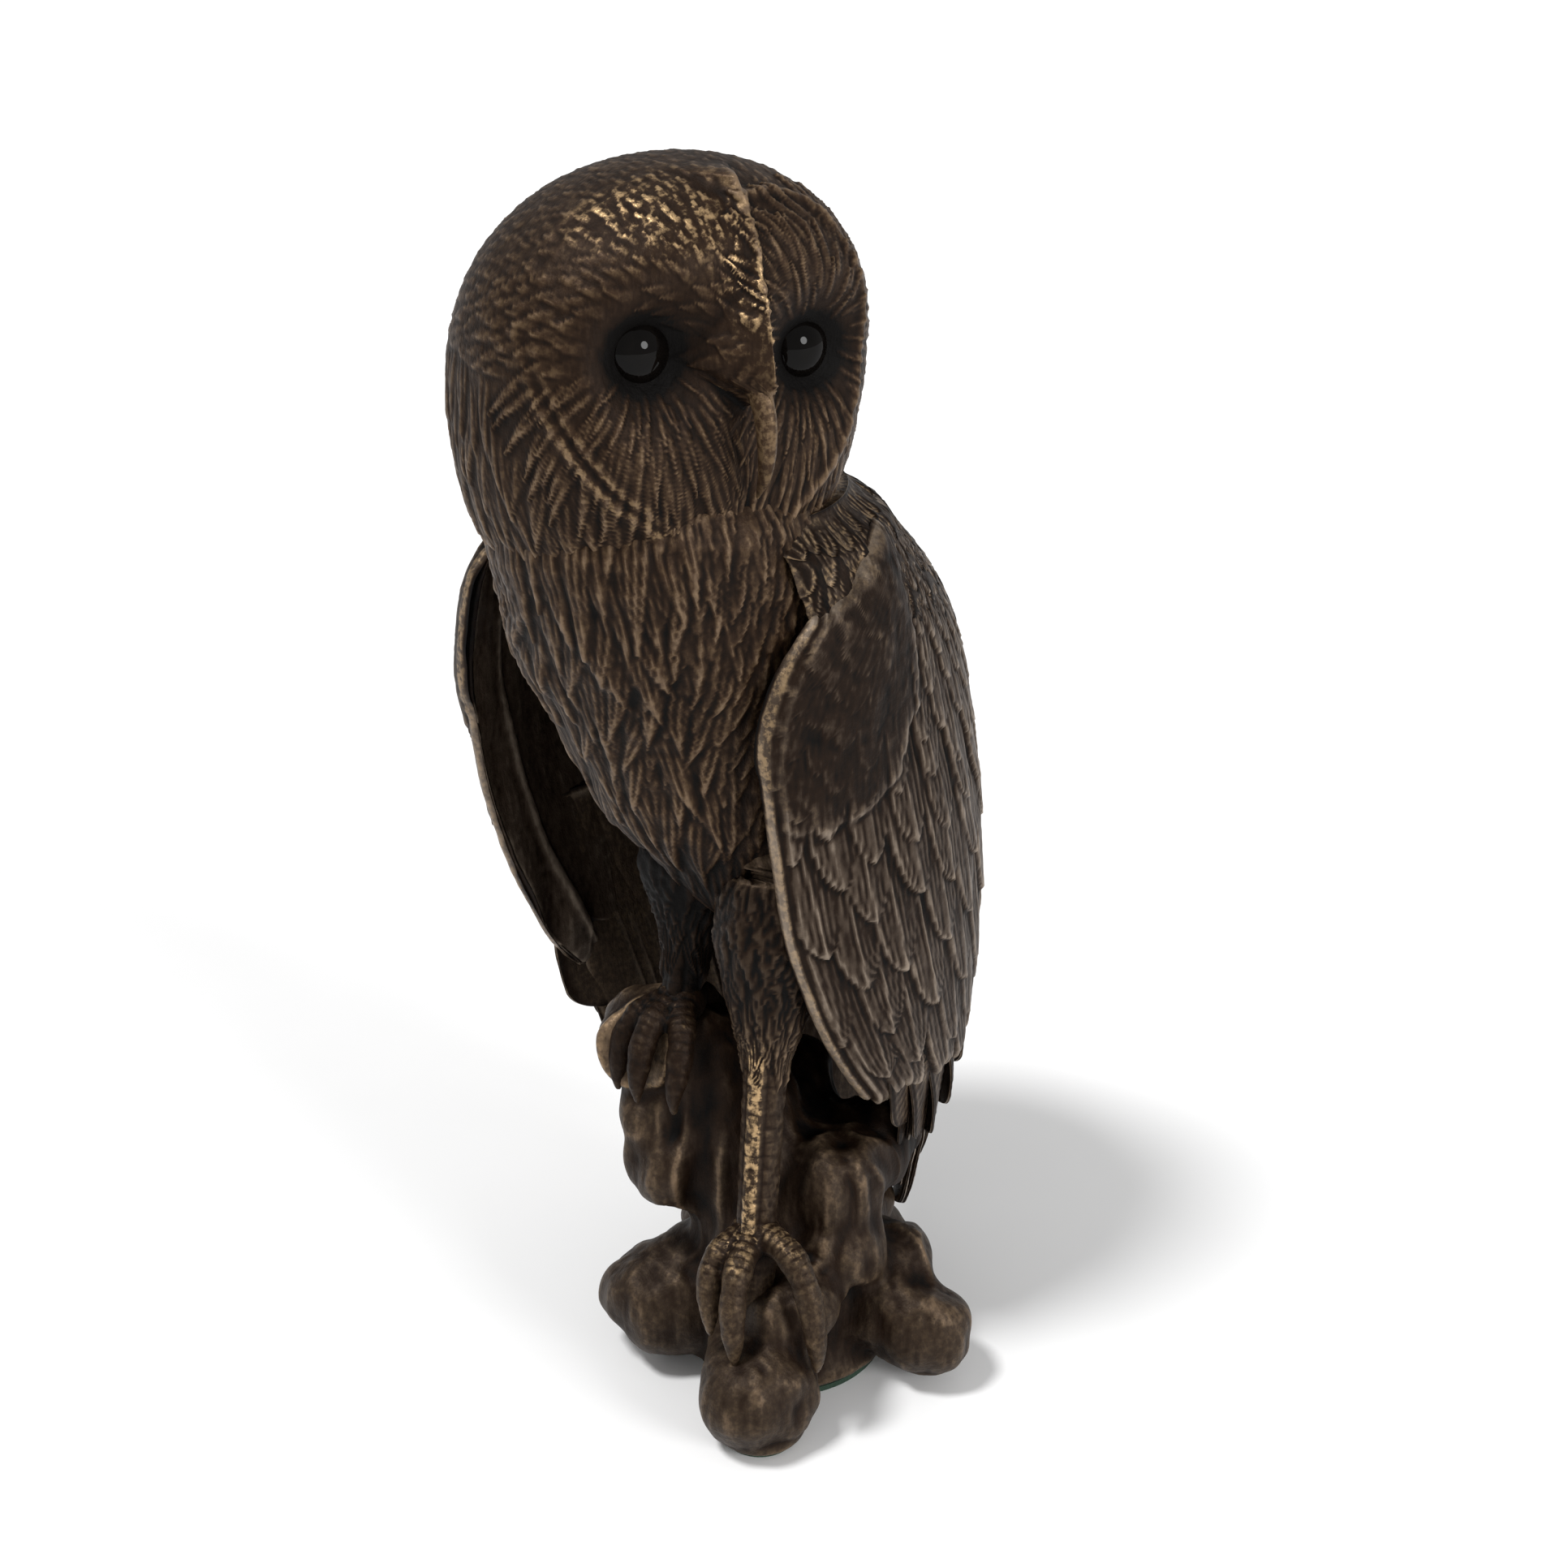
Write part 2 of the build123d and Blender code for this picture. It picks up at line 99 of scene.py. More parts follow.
def lattice_noise(points: Array, cell: Sequence[float], seed: int) -> Array:
    """Smooth random field between -1 and 1.

    Args:
        points: places to read, one row each.
        cell: size of the noise's cells along each axis.
        seed: which field.

    Returns:
        One value for each point.
    """
    scaled = points / np.asarray(cell, float)
    base = np.floor(scaled).astype(np.int64)
    part = scaled - base
    part = part * part * (3.0 - 2.0 * part)
    total = np.zeros(len(points))
    for corner in range(8):
        step = np.array([(corner >> axis) & 1 for axis in range(3)])
        node = base + step
        mixed = (node * HASH_STEPS).astype(np.int64)
        mixed = mixed[:, 0] ^ mixed[:, 1] ^ mixed[:, 2] ^ (seed * HASH_SEED)
        mixed = (mixed ^ (mixed >> 13)) * 1274126177
        value = ((mixed ^ (mixed >> 16)) & 0xFFFF) / 32767.5 - 1.0
        total += value * np.prod(np.where(step, part, 1.0 - part), axis=1)
    return total


def layered_noise(points: Array, cell: float, seed: int, layers: int = 3) -> Array:
    """Noise with finer and fainter layers on top.

    Args:
        points: places to read.
        cell: size of the broadest cells.
        seed: which field.
        layers: number of layers.

    Returns:
        One value for each point.
    """
    total = np.zeros(len(points))
    for layer in range(layers):
        total += lattice_noise(points, [cell / 2 ** layer] * 3, seed + layer) / 2 ** layer
    return total


def path_gap(points: Array, path: Array) -> Array:
    """Distance from each point to a path of straight pieces.

    Args:
        points: places to measure from.
        path: places along the path.

    Returns:
        The least distance for each point.
    """
    best = np.full(len(points), 1e9)
    for start, end in zip(path[:-1], path[1:]):
        span = end - start
        share = np.clip((points - start) @ span / (span @ span + 1e-12), 0.0, 1.0)
        gap = points - start - share[:, None] * span
        best = np.minimum(best, (gap * gap).sum(axis=1))
    return np.sqrt(best)


def curve_through(places: Sequence[Sequence[float]], steps: int = 8) -> Array:
    """Smooth path through places.

    Args:
        places: the places, in order.
        steps: pieces between one place and the next.

    Returns:
        Points along the path.
    """
    spots = np.array(places, float)
    padded = np.vstack([2 * spots[0] - spots[1], spots, 2 * spots[-1] - spots[-2]])
    share = np.linspace(0, 1, steps, endpoint=False)[:, None]
    pieces = []
    for k in range(1, len(padded) - 2):
        a, b, c, d = padded[k - 1], padded[k], padded[k + 1], padded[k + 2]
        pieces.append(
            0.5 * (2 * b + (c - a) * share + (2 * a - 5 * b + 4 * c - d) * share ** 2
                   + (3 * b - a - 3 * c + d) * share ** 3)
        )
    return np.vstack(pieces + [spots[-1:]])


# ------------------------------------------------------------------ shells
@dataclass
class Shell:
    """A mesh under work, in millimetres."""

    points: Array
    quads: Array
    tris: Array = field(default_factory=lambda: np.zeros((0, 3), int))

    def triangles(self) -> Array:
        """Every face as triangles."""
        return np.vstack([self.quads[:, [0, 1, 2]], self.quads[:, [0, 2, 3]], self.tris])

    def normals(self) -> Array:
        """Outward direction at each point.

        Returns:
            One direction of length one for each point.
        """
        tri = self.triangles()
        corner = self.points[tri]
        face = np.cross(corner[:, 1] - corner[:, 0], corner[:, 2] - corner[:, 0])
        flat = tri.ravel()
        sums = [np.bincount(flat, np.repeat(face[:, k], 3), len(self.points)) for k in range(3)]
        return unit(np.stack(sums, axis=1))

    def outward(self) -> "Shell":
        """The same shell with its faces turned to look out.

        Returns:
            This shell, or one with every face turned over.
        """
        corner = self.points[self.triangles()]
        volume = np.einsum("ij,ij->i", corner[:, 0], np.cross(corner[:, 1], corner[:, 2])).sum()
        if volume >= 0.0:
            return self
        return Shell(self.points, self.quads[:, ::-1], self.tris[:, ::-1])

    def edges(self) -> Array:
        """Both ends of every edge, shared edges counted once or twice.

        Returns:
            Two point numbers for each edge.
        """
        quad, tri = self.quads, self.tris
        pairs = [quad[:, [0, 1]], quad[:, [1, 2]], quad[:, [2, 3]], quad[:, [3, 0]]]
        pairs += [tri[:, [0, 1]], tri[:, [1, 2]], tri[:, [2, 0]]]
        return np.vstack(pairs)

    def averaged(self, values: Array, rounds: int) -> Array:
        """Values after each point takes the mean of its neighbours, round after round.

        Args:
            values: one row for each point.
            rounds: how often to average.

        Returns:
            The averaged values.
        """
        pairs = self.edges()
        start, end = pairs[:, 0], pairs[:, 1]
        size = len(self.points)
        count = np.bincount(start, minlength=size) + np.bincount(end, minlength=size)
        count = np.maximum(count, 1)
        result = values.reshape(size, -1).astype(float)
        for _ in range(rounds):
            columns = []
            for k in range(result.shape[1]):
                column = result[:, k]
                total = np.bincount(start, column[end], size) + np.bincount(end, column[start], size)
                columns.append(0.5 * column + 0.5 * total / count)
            result = np.stack(columns, axis=1)
        return result.reshape(values.shape)

    def joined(self, other: "Shell") -> "Shell":
        """This shell and another as one.

        Args:
            other: the shell to add.

        Returns:
            One shell with the faces of both.
        """
        shift = len(self.points)
        return Shell(
            np.vstack([self.points, other.points]),
            np.vstack([self.quads, other.quads + shift]),
            np.vstack([self.tris, other.tris + shift]),
        )


def lattice_quads(rows: int, columns: int, ring: bool, flip: bool = False) -> Array:
    """Faces of a grid of points laid out row by row.

    Args:
        rows: number of rows of points.
        columns: number of points in a row.
        ring: whether each row closes on itself.
        flip: whether to turn the faces over.

    Returns:
        Four point numbers for each face.
    """
    row = np.arange(rows - 1)[:, None] * columns
    span = columns if ring else columns - 1
    here = np.arange(span)[None, :]
    after = (here + 1) % columns
    faces = np.stack([row + here, row + after, row + columns + after, row + columns + here], axis=-1)
    faces = faces.reshape(-1, 4)
    return faces[:, ::-1] if flip else faces


def closed_tube(rings: Array) -> Shell:
    """Shell through closed rings, with a fan over each end.

    Args:
        rings: points as rows of rings, each ring turning the same way.

    Returns:
        A closed shell whose faces look outward when the rings turn anticlockwise seen from the last one.
    """
    rows, columns, _ = rings.shape
    points = np.vstack([rings.reshape(-1, 3), rings[0].mean(axis=0), rings[-1].mean(axis=0)])
    first, last = rows * columns, rows * columns + 1
    here = np.arange(columns)
    after = (here + 1) % columns
    base = (rows - 1) * columns
    low = np.stack([np.full(columns, first), after, here], axis=1)
    high = np.stack([np.full(columns, last), base + here, base + after], axis=1)
    return Shell(points, lattice_quads(rows, columns, True), np.vstack([low, high]))


def thick_sheet(outer: Array, inner: Array) -> Shell:
    """Closed shell between an outer and an inner grid of points that share their layout.

    Args:
        outer: points as rows and columns.
        inner: the same for the inside.

    Returns:
        A closed shell.
    """
    rows, columns, _ = outer.shape
    size = rows * columns
    number = np.arange(size).reshape(rows, columns)
    rim = np.concatenate([number[0, :-1], number[:-1, -1], number[-1, :0:-1], number[:0:-1, 0]])
    following = np.roll(rim, -1)
    wall = np.stack([rim, rim + size, following + size, following], axis=1)
    front = lattice_quads(rows, columns, False, flip=True)
    back = lattice_quads(rows, columns, False) + size
    points = np.vstack([outer.reshape(-1, 3), inner.reshape(-1, 3)])
    return Shell(points, np.vstack([front, back, wall]))


# ------------------------------------------------------------------ plumage
class Tip(Enum):
    """How a feather ends."""

    ROUND = "round"
    POINTED = "pointed"


@dataclass(frozen=True)
class FeatherCut:
    """How one kind of feather is cut into the wax."""

    length: float
    half_width: float
    lift: float
    tip: Tip = Tip.ROUND
    shaft: float = 0.0
    strand: float = 0.08
    strand_pitch: float = 1.0
    curl: float = 0.0
    edge: float = 0.16
    crown: float = 0.35
    root_lift: float = 0.15
    rim: float = 0.0
    lean: float = 0.0

    def outline(self, along: Array) -> Array:
        """Half width at each share of the length, as a share of the widest.

        Args:
            along: shares of the length.

        Returns:
            The half width at each of them.
        """
        if self.tip is Tip.ROUND:
            return np.sqrt(np.clip(1.0 - np.clip((along - 0.5) / 0.5, 0, 1) ** 2.3, 0, 1))
        return np.clip(1.0 - along, 0, 1) ** 0.6 * (0.75 + 0.35 * np.sin(np.pi * np.clip(along, 0, 1)))

    def scaled(self, factor: float) -> "FeatherCut":
        """The same feather at another size."""
        sizes = {name: getattr(self, name) * factor for name in ("length", "half_width", "lift")}
        return replace(self, **sizes)


class Relief:
    """Height of the modelling on a shell, laid on feather by feather and then carved into its points."""

    def __init__(self, shell: Shell, cell: float = 2.5) -> None:
        """Sorts the shell's points into cells, so that the points near a place are found quickly.

        Args:
            shell: the shell to model on.
            cell: size of a cell in millimetres.
        """
        self.shell = shell
        self.cell = cell
        self.normals = shell.normals()
        self.height = np.zeros(len(shell.points))
        keys = np.floor(shell.points / cell).astype(int)
        self.low = keys.min(axis=0)
        self.span = keys.max(axis=0) - self.low + 1
        flat = self._flat(keys - self.low)
        self.order = np.argsort(flat, kind="stable")
        self.sorted = flat[self.order]

    def _flat(self, keys: Array) -> Array:
        """One number for each cell."""
        return (keys[..., 0] * self.span[1] + keys[..., 1]) * self.span[2] + keys[..., 2]

    def near(self, centre: Array, reach: float) -> Array:
        """Numbers of the points within reach of a place.

        Args:
            centre: the place.
            reach: the distance.

        Returns:
            The points' numbers.
        """
        low = np.clip(np.floor((centre - reach) / self.cell).astype(int) - self.low, 0, self.span - 1)
        high = np.clip(np.floor((centre + reach) / self.cell).astype(int) - self.low, 0, self.span - 1)
        across = np.arange(low[0], high[0] + 1)[:, None] * self.span[1]
        rows = ((across + np.arange(low[1], high[1] + 1)[None, :]) * self.span[2]).ravel()
        starts = np.searchsorted(self.sorted, rows + low[2])
        stops = np.searchsorted(self.sorted, rows + high[2] + 1)
        found = [self.order[start:stop] for start, stop in zip(starts, stops) if stop > start]
        if not found:
            return np.zeros(0, int)
        numbers = np.concatenate(found)
        gap = self.shell.points[numbers] - centre
        return numbers[(gap * gap).sum(axis=1) < reach * reach]

    def lay(self, root: Array, heading: Array, cut: FeatherCut, rng: np.random.Generator) -> None:
        """Lays one feather over what is there.

        Args:
            root: where the feather grows from.
            heading: the way that it points.
            cut: its kind.
            rng: source of its small differences.
        """
        numbers = self.near(root + heading * cut.length * 0.5, cut.length * 0.6 + cut.half_width)
        if len(numbers) < 4:
            return
        points = self.shell.points[numbers]
        nearest = np.argmin(((points - root) ** 2).sum(axis=1))
        out = self.normals[numbers[nearest]]
        heading = unit(heading - out * (heading @ out))
        side = np.cross(out, heading)
        offset = points - root
        along = offset @ heading / cut.length
        bend = rng.uniform(-1, 1) * cut.curl
        across = offset @ side / cut.half_width - bend * np.clip(along, 0, 1) ** 2
        phase = rng.uniform(0, 6.28)
        limit = cut.outline(along)
        inside = ease(0.0, cut.edge, limit - np.abs(across)) * ease(0.0, 0.08, along)
        inside *= (along < 1.0) & (self.normals[numbers] @ out > 0.1)
        grow = cut.root_lift + (1.0 - cut.root_lift) * np.clip(along, 0, 1)
        dome = 1.0 - cut.crown * np.clip(np.abs(across) / np.maximum(limit, 0.05), 0, 1) ** 2
        body = cut.lift * grow * dome + cut.lean * across * ease(0.1, 0.5, along)
        fan = across / np.maximum(limit, 0.35)
        waves = fan * cut.half_width * 6.283 / cut.strand_pitch + phase
        strands = cut.strand * np.sin(waves + 1.2 * np.sin(along * 5.0 + phase))
        shaft = cut.shaft * bump(across, 0.0, 0.09)
        outer = bump(np.abs(across) / np.maximum(limit, 0.2), 0.84, 0.12)
        value = body + strands * ease(0.0, 0.2, along) + shaft + cut.rim * outer * ease(0.2, 0.6, along)
        self.height[numbers] = self.height[numbers] * (1.0 - inside) + value * inside

    def scatter(self, where: Array, spacing: float, rng: np.random.Generator) -> Array:
        """Picks points spread evenly over a part of the shell.

        Args:
            where: which points may be picked.
            spacing: least distance between picks.
            rng: source of the order in which they are tried.

        Returns:
            Numbers of the picked points.
        """
        offered = rng.permutation(np.flatnonzero(where))[:14000]
        cells: dict[tuple[int, int, int], list[Array]] = {}
        picked = []
        for number in offered:
            place = self.shell.points[number]
            x, y, z = (int(k) for k in place // spacing)
            close = (
                float(((other - place) ** 2).sum()) < spacing * spacing
                for i in (x - 1, x, x + 1) for j in (y - 1, y, y + 1) for k in (z - 1, z, z + 1)
                for other in cells.get((i, j, k), ())
            )
            if not any(close):
                cells.setdefault((x, y, z), []).append(place)
                picked.append(number)
        return np.array(picked, int)

    def cover(
        self, where: Array, spacing: float, cut: FeatherCut, rng: np.random.Generator,
        heading: Callable[[Array], Array], order: Callable[[Array], Array],
        size: Optional[Callable[[Array], Array]] = None,
    ) -> None:
        """Covers a part of the shell with feathers.

        Args:
            where: which points may carry a root.
            spacing: distance between roots.
            cut: kind of feather.
            rng: source of small differences.
            heading: gives the way that each feather points.
            order: gives a key for each root; the smallest are laid first and lie underneath.
            size: gives each feather's scale, or None for one size.
        """
        picks = self.scatter(where, spacing, rng)
        places = self.shell.points[picks]
        ways = unit(heading(places) + rng.normal(0.0, 0.10, places.shape))
        sizes = np.ones(len(picks)) if size is None else size(places)
        sizes = sizes * rng.uniform(0.85, 1.15, len(picks))
        for number in np.argsort(order(places), kind="stable"):
            self.lay(places[number], ways[number], cut.scaled(sizes[number]), rng)

    def ridge(self, path: Array, width: float, height: float) -> Array:
        """Raises a rounded ridge along a path.

        Args:
            path: places along the ridge.
            width: how far it reaches to each side.
            height: how high it stands; a negative height makes a groove.

        Returns:
            The share of the ridge at each point, for marking wear.
        """
        gap = ((path[:, None, :] - self.shell.points[None, ::3, :]) ** 2).sum(axis=2)
        snapped = self.shell.points[::3][gap.argmin(axis=1)]
        for _ in range(3):
            snapped[1:-1] = 0.25 * snapped[:-2] + 0.5 * snapped[1:-1] + 0.25 * snapped[2:]
        gap = path_gap(self.shell.points, snapped)
        share = np.exp(-((gap / width) ** 2))
        self.height += height * share
        return share

    def add(self, amount: Array) -> None:
        """Adds a height to every point."""
        self.height += amount

    def carve(self) -> None:
        """Moves the shell's points by the height."""
        self.shell.points = self.shell.points + self.normals * self.height[:, None]


# ------------------------------------------------------------------ finishes
Socket = bpy.types.NodeSocket
Feed = Union[bpy.types.NodeSocket, float]


class Paint:
    """A material under work, with the few nodes that every finish here is mixed from."""

    def __init__(self, name: str) -> None:
        """Starts a material.

        Args:
            name: the material's name.
        """
        self.material = bpy.data.materials.new(name)
        self.material.use_nodes = True
        self.nodes = self.material.node_tree.nodes
        self.shader = self.nodes["Principled BSDF"]
        self.place = self.nodes.new("ShaderNodeTexCoord").outputs["Object"]

    def feed(self, value: Feed, target: Socket) -> None:
        """Links a socket to another, or sets it to a number.

        Args:
            value: the output to link, or the number.
            target: the input that takes it.
        """
        if isinstance(value, (int, float)):
            target.default_value = value
        else:
            self.material.node_tree.links.new(value, target)

    def set(self, name: str, value: Feed) -> None:
        """Sets one input of the surface."""
        self.feed(value, self.shader.inputs[name])

    def noise(self, scale: float, detail: float = 2.0, fall: float = 0.5, squash: float = 1.0) -> Socket:
        """Adds a noise texture.

        Args:
            scale: cells per metre.
            detail: number of finer layers.
            fall: strength of each finer layer.
            squash: scale of the height; below 1 the cells stand upright.

        Returns:
            Its output.
        """
        place = self.place
        if squash != 1.0:
            stretch = self.nodes.new("ShaderNodeMapping")
            stretch.inputs["Scale"].default_value = (1.0, 1.0, squash)
            self.feed(place, stretch.inputs["Vector"])
            place = stretch.outputs["Vector"]
        noise = self.nodes.new("ShaderNodeTexNoise")
        for name, value in (("Scale", scale), ("Detail", detail), ("Roughness", fall), ("Vector", place)):
            self.feed(value, noise.inputs[name])
        return noise.outputs["Fac"]

    def math(self, operation: str, *values: Feed, clamp: bool = False) -> Socket:
        """Adds a sum.

        Args:
            operation: which sum.
            values: what goes into it.
            clamp: whether to hold the result between 0 and 1.

        Returns:
            Its output.
        """
        node = self.nodes.new("ShaderNodeMath")
        node.operation = operation
        node.use_clamp = clamp
        for socket, value in zip(node.inputs, values):
            self.feed(value, socket)
        return node.outputs[0]

    def spread(self, value: Socket, source: Sequence[float], target: Sequence[float] = (0.0, 1.0)) -> Socket:
        """Maps a value from one range to another.

        Args:
            value: the value.
            source: both ends of its range.
            target: both ends of the new range.

        Returns:
            The mapped value.
        """
        node = self.nodes.new("ShaderNodeMapRange")
        for name, number in zip(("From Min", "From Max", "To Min", "To Max"), (*source, *target)):
            node.inputs[name].default_value = number
        self.feed(value, node.inputs["Value"])
        return node.outputs["Result"]

    def ramp(self, value: Socket, stops: Sequence[tuple[float, Colour]]) -> Socket:
        """Turns a value into a colour.

        Args:
            value: the value.
            stops: two or more places from 0 to 1, each with its colour.

        Returns:
            The colour.
        """
        node = self.nodes.new("ShaderNodeValToRGB")
        elements = node.color_ramp.elements
        for element, (position, colour) in zip(elements[:2], (stops[0], stops[-1])):
            element.position = position
            element.color = (*colour, 1.0)
        for position, colour in stops[1:-1]:
            elements.new(position).color = (*colour, 1.0)
        self.feed(value, node.inputs["Fac"])
        return node.outputs["Color"]

    def blend(self, share: Socket, first: Socket, second: Colour) -> Socket:
        """Blends from one colour to another.

        Args:
            share: share of the second colour.
            first: the first colour.
            second: the second colour.

        Returns:
            The blend.
        """
        node = self.nodes.new("ShaderNodeMix")
        node.data_type = "RGBA"
        self.feed(share, node.inputs["Factor"])
        self.feed(first, node.inputs[6])
        node.inputs[7].default_value = (*second, 1.0)
        return node.outputs[2]

    def dent(self, height: Socket, strength: float, distance: float) -> None:
        """Presses fine texture into the surface.

        Args:
            height: the texture's height.
            strength: how strongly it shows.
            distance: its depth in metres.
        """
        node = self.nodes.new("ShaderNodeBump")
        for name, value in (("Strength", strength), ("Distance", distance), ("Height", height)):
            self.feed(value, node.inputs[name])
        self.set("Normal", node.outputs["Normal"])


@dataclass(frozen=True)
class BronzeFinish:
    """Dark patina that settles in the hollows and is rubbed off the high places."""

    name: str
    slot: str
    deep: Colour = (0.0016, 0.0010, 0.0007)
    body: Colour = (0.0135, 0.0062, 0.0026)
    raised: Colour = (0.044, 0.0240, 0.0125)
    pale: Colour = (0.190, 0.128, 0.080)
    gold: Colour = (0.62, 0.42, 0.22)
    metallic: float = 0.30
    rough_low: float = 0.62
    rough_high: float = 0.40
    hair: float = 0.8
    fall: float = 0.62

    def build(self) -> bpy.types.Material:
        """Makes the node material.

        Returns:
            The material, which reads the pieces' relief attribute.
        """
        paint = Paint(self.name)
        relief = paint.nodes.new("ShaderNodeAttribute")
        relief.attribute_name = "relief"
        split = paint.nodes.new("ShaderNodeSeparateColor")
        paint.feed(relief.outputs["Color"], split.inputs["Color"])
        fine, broad, worn = (split.outputs[name] for name in ("Red", "Green", "Blue"))
        cloud, grain = paint.noise(110.0, 4.0, self.fall), paint.noise(900.0, 5.0, self.fall)
        strands = paint.noise(1300.0, 2.0, self.fall, squash=0.14)

        tone = paint.math("MULTIPLY", fine, 0.52)
        parts = (
            (broad, 0.36, 0.0), (cloud, 0.26, -0.08), (grain, 0.18, -0.09),
            (strands, 0.22 * self.hair, -0.11 * self.hair),
        )
        for source, gain, shift in parts:
            tone = paint.math("ADD", tone, paint.math("MULTIPLY_ADD", source, gain, shift))
        stops = ((0.18, self.deep), (0.42, self.body), (0.66, self.raised), (0.92, self.pale))

        bare = paint.math("MULTIPLY", worn, 1.6)
        bare = paint.math("MULTIPLY", bare, paint.spread(tone, (0.50, 0.66)))
        bare = paint.math("MULTIPLY", bare, paint.spread(grain, (0.44, 0.58)), clamp=True)
        paint.set("Base Color", paint.blend(bare, paint.ramp(tone, stops), self.gold))
        metal = paint.math("MULTIPLY_ADD", bare, 1.0 - self.metallic, self.metallic, clamp=True)
        paint.set("Metallic", metal)
        rough = paint.spread(tone, (0.3, 0.8), (self.rough_low, self.rough_high))
        paint.set("Roughness", paint.math("MULTIPLY_ADD", bare, -0.12, rough))
        paint.set("Specular IOR Level", 0.14)

        texture = paint.math("MULTIPLY_ADD", paint.noise(2600.0, 3.0, self.fall), 0.5, grain)
        hairs = paint.noise(1500.0, 3.0, self.fall, squash=0.16)
        paint.dent(paint.math("MULTIPLY_ADD", hairs, self.hair, texture), 0.55, 0.00022)
        return paint.material


@dataclass(frozen=True)
class GlossFinish:
    """Polished black glass of the eyes, with a faint brown cloud in it."""

    name: str
    slot: str
    dark: Colour
    light: Colour

    def build(self) -> bpy.types.Material:
        """Makes the node material.

        Returns:
            The material.
        """
        paint = Paint(self.name)
        cloud = paint.noise(500.0)
        paint.set("Base Color", paint.ramp(cloud, ((0.0, self.dark), (1.0, self.light))))
        paint.set("Roughness", paint.spread(cloud, (0.0, 1.0), (0.02, 0.05)))
        for name, value in (("Specular IOR Level", 0.0), ("Coat Weight", 0.24), ("Coat Roughness", 0.02)):
            paint.set(name, value)
        return paint.material


@dataclass(frozen=True)
class PlainFinish:
    """A quiet finish with a little grain, for the pins, the felt and the floor."""

    name: str
    slot: str
    dark: Colour
    light: Colour
    metallic: float
    roughness: float
    grain: float
    depth: float

    def build(self) -> bpy.types.Material:
        """Makes the node material.

        Returns:
            The material.
        """
        paint = Paint(self.name)
        grain = paint.noise(self.grain, 6.0)
        paint.set("Base Color", paint.ramp(grain, ((0.0, self.dark), (1.0, self.light))))
        paint.set("Metallic", self.metallic)
        paint.set("Roughness", self.roughness)
        paint.dent(grain, 0.4, self.depth)
        return paint.material


Finish = Union[BronzeFinish, GlossFinish, PlainFinish]


# ------------------------------------------------------------------ pieces
def patina_marks(shell: Shell, wear: Optional[Array], painted_shading: Optional[Array]) -> Array:
    """How far each point stands out or lies in, for the patina.

    Args:
        shell: the finished shell.
        wear: share of bare metal at each point, or None.
        painted_shading: painted shade, how much darker than its relief each point is drawn, or None; negative
            values paint light.

    Returns:
        Red for fine relief, green for broad relief, both less the painted shading, and blue for wear, each
        from 0 to 1.
    """
    normals = shell.normals()
    near = shell.averaged(shell.points, 3)
    far = shell.averaged(near, 26)
    fine = ((shell.points - near) * normals).sum(axis=1) / 0.075
    broad = ((near - far) * normals).sum(axis=1) / 0.42
    marks = np.zeros((len(shell.points), 4))
    marks[:, 0] = 0.5 + 0.5 * np.tanh(fine)
    marks[:, 1] = 0.5 + 0.5 * np.tanh(broad)
    # Painted light and shade: the relief marks are lowered where shade is painted and raised where light is
    # painted.
    if painted_shading is not None:
        marks[:, :2] -= painted_shading[:, None]
    marks[:, 2] = 0.0 if wear is None else np.clip(wear, 0.0, 1.0)
    marks[:, 3] = 1.0
    return marks


class Workshop:
    """Turns shells into pieces that ride on the frame, and keeps one material for each finish."""

    def __init__(self) -> None:
        """Starts with no materials made."""
        self.materials: dict[str, bpy.types.Material] = {}

    def material(self, finish: Finish) -> bpy.types.Material:
        """The material of a finish, made once.

        Args:
            finish: the finish.

        Returns:
            Its material.
        """
        if finish.name not in self.materials:
            self.materials[finish.name] = finish.build()
        return self.materials[finish.name]

    def piece(
        self, name: str, shell: Shell, finish: Finish, stands_for: Sequence[str] = (),
        wear: Optional[Array] = None, painted_shading: Optional[Array] = None,
    ) -> bpy.types.Object:
        """Makes one piece.

        Args:
            name: its name.
            shell: its shape in millimetres.
            finish: its finish.
            stands_for: the frame's nodes that it is shown in place of.
            wear: share of bare metal at each point.
            painted_shading: painted shade, how much darker than its relief each point is drawn; negative
                values paint light.

        Returns:
            The new object.
        """
        mesh = bpy.data.meshes.new(name)
        faces = shell.quads.tolist() + shell.tris.tolist()
        mesh.from_pydata((shell.points * MM).tolist(), [], faces)
        marks = mesh.color_attributes.new("relief", "FLOAT_COLOR", "POINT")
        marks.data.foreach_set("color", patina_marks(shell, wear, painted_shading).ravel())
        mesh.polygons.foreach_set("use_smooth", np.ones(len(faces), bool))
        mesh.update()
        piece = bpy.data.objects.new(name, mesh)
        bpy.context.scene.collection.objects.link(piece)
        mesh.materials.append(self.material(finish))
        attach(piece, ROOT_BODY)
        if stands_for:
            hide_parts(*stands_for)
        log.info("%s: %d points, %d faces", name, len(shell.points), len(faces))
        return piece

    def dress(self, node: str, finish: Finish) -> None:
        """Gives a node of the frame its finish.

        Args:
            node: the node.
            finish: its finish.
        """
        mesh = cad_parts[node].data
        mesh.materials.clear()
        mesh.materials.append(self.material(finish))
        log.info("%s: dressed", node)


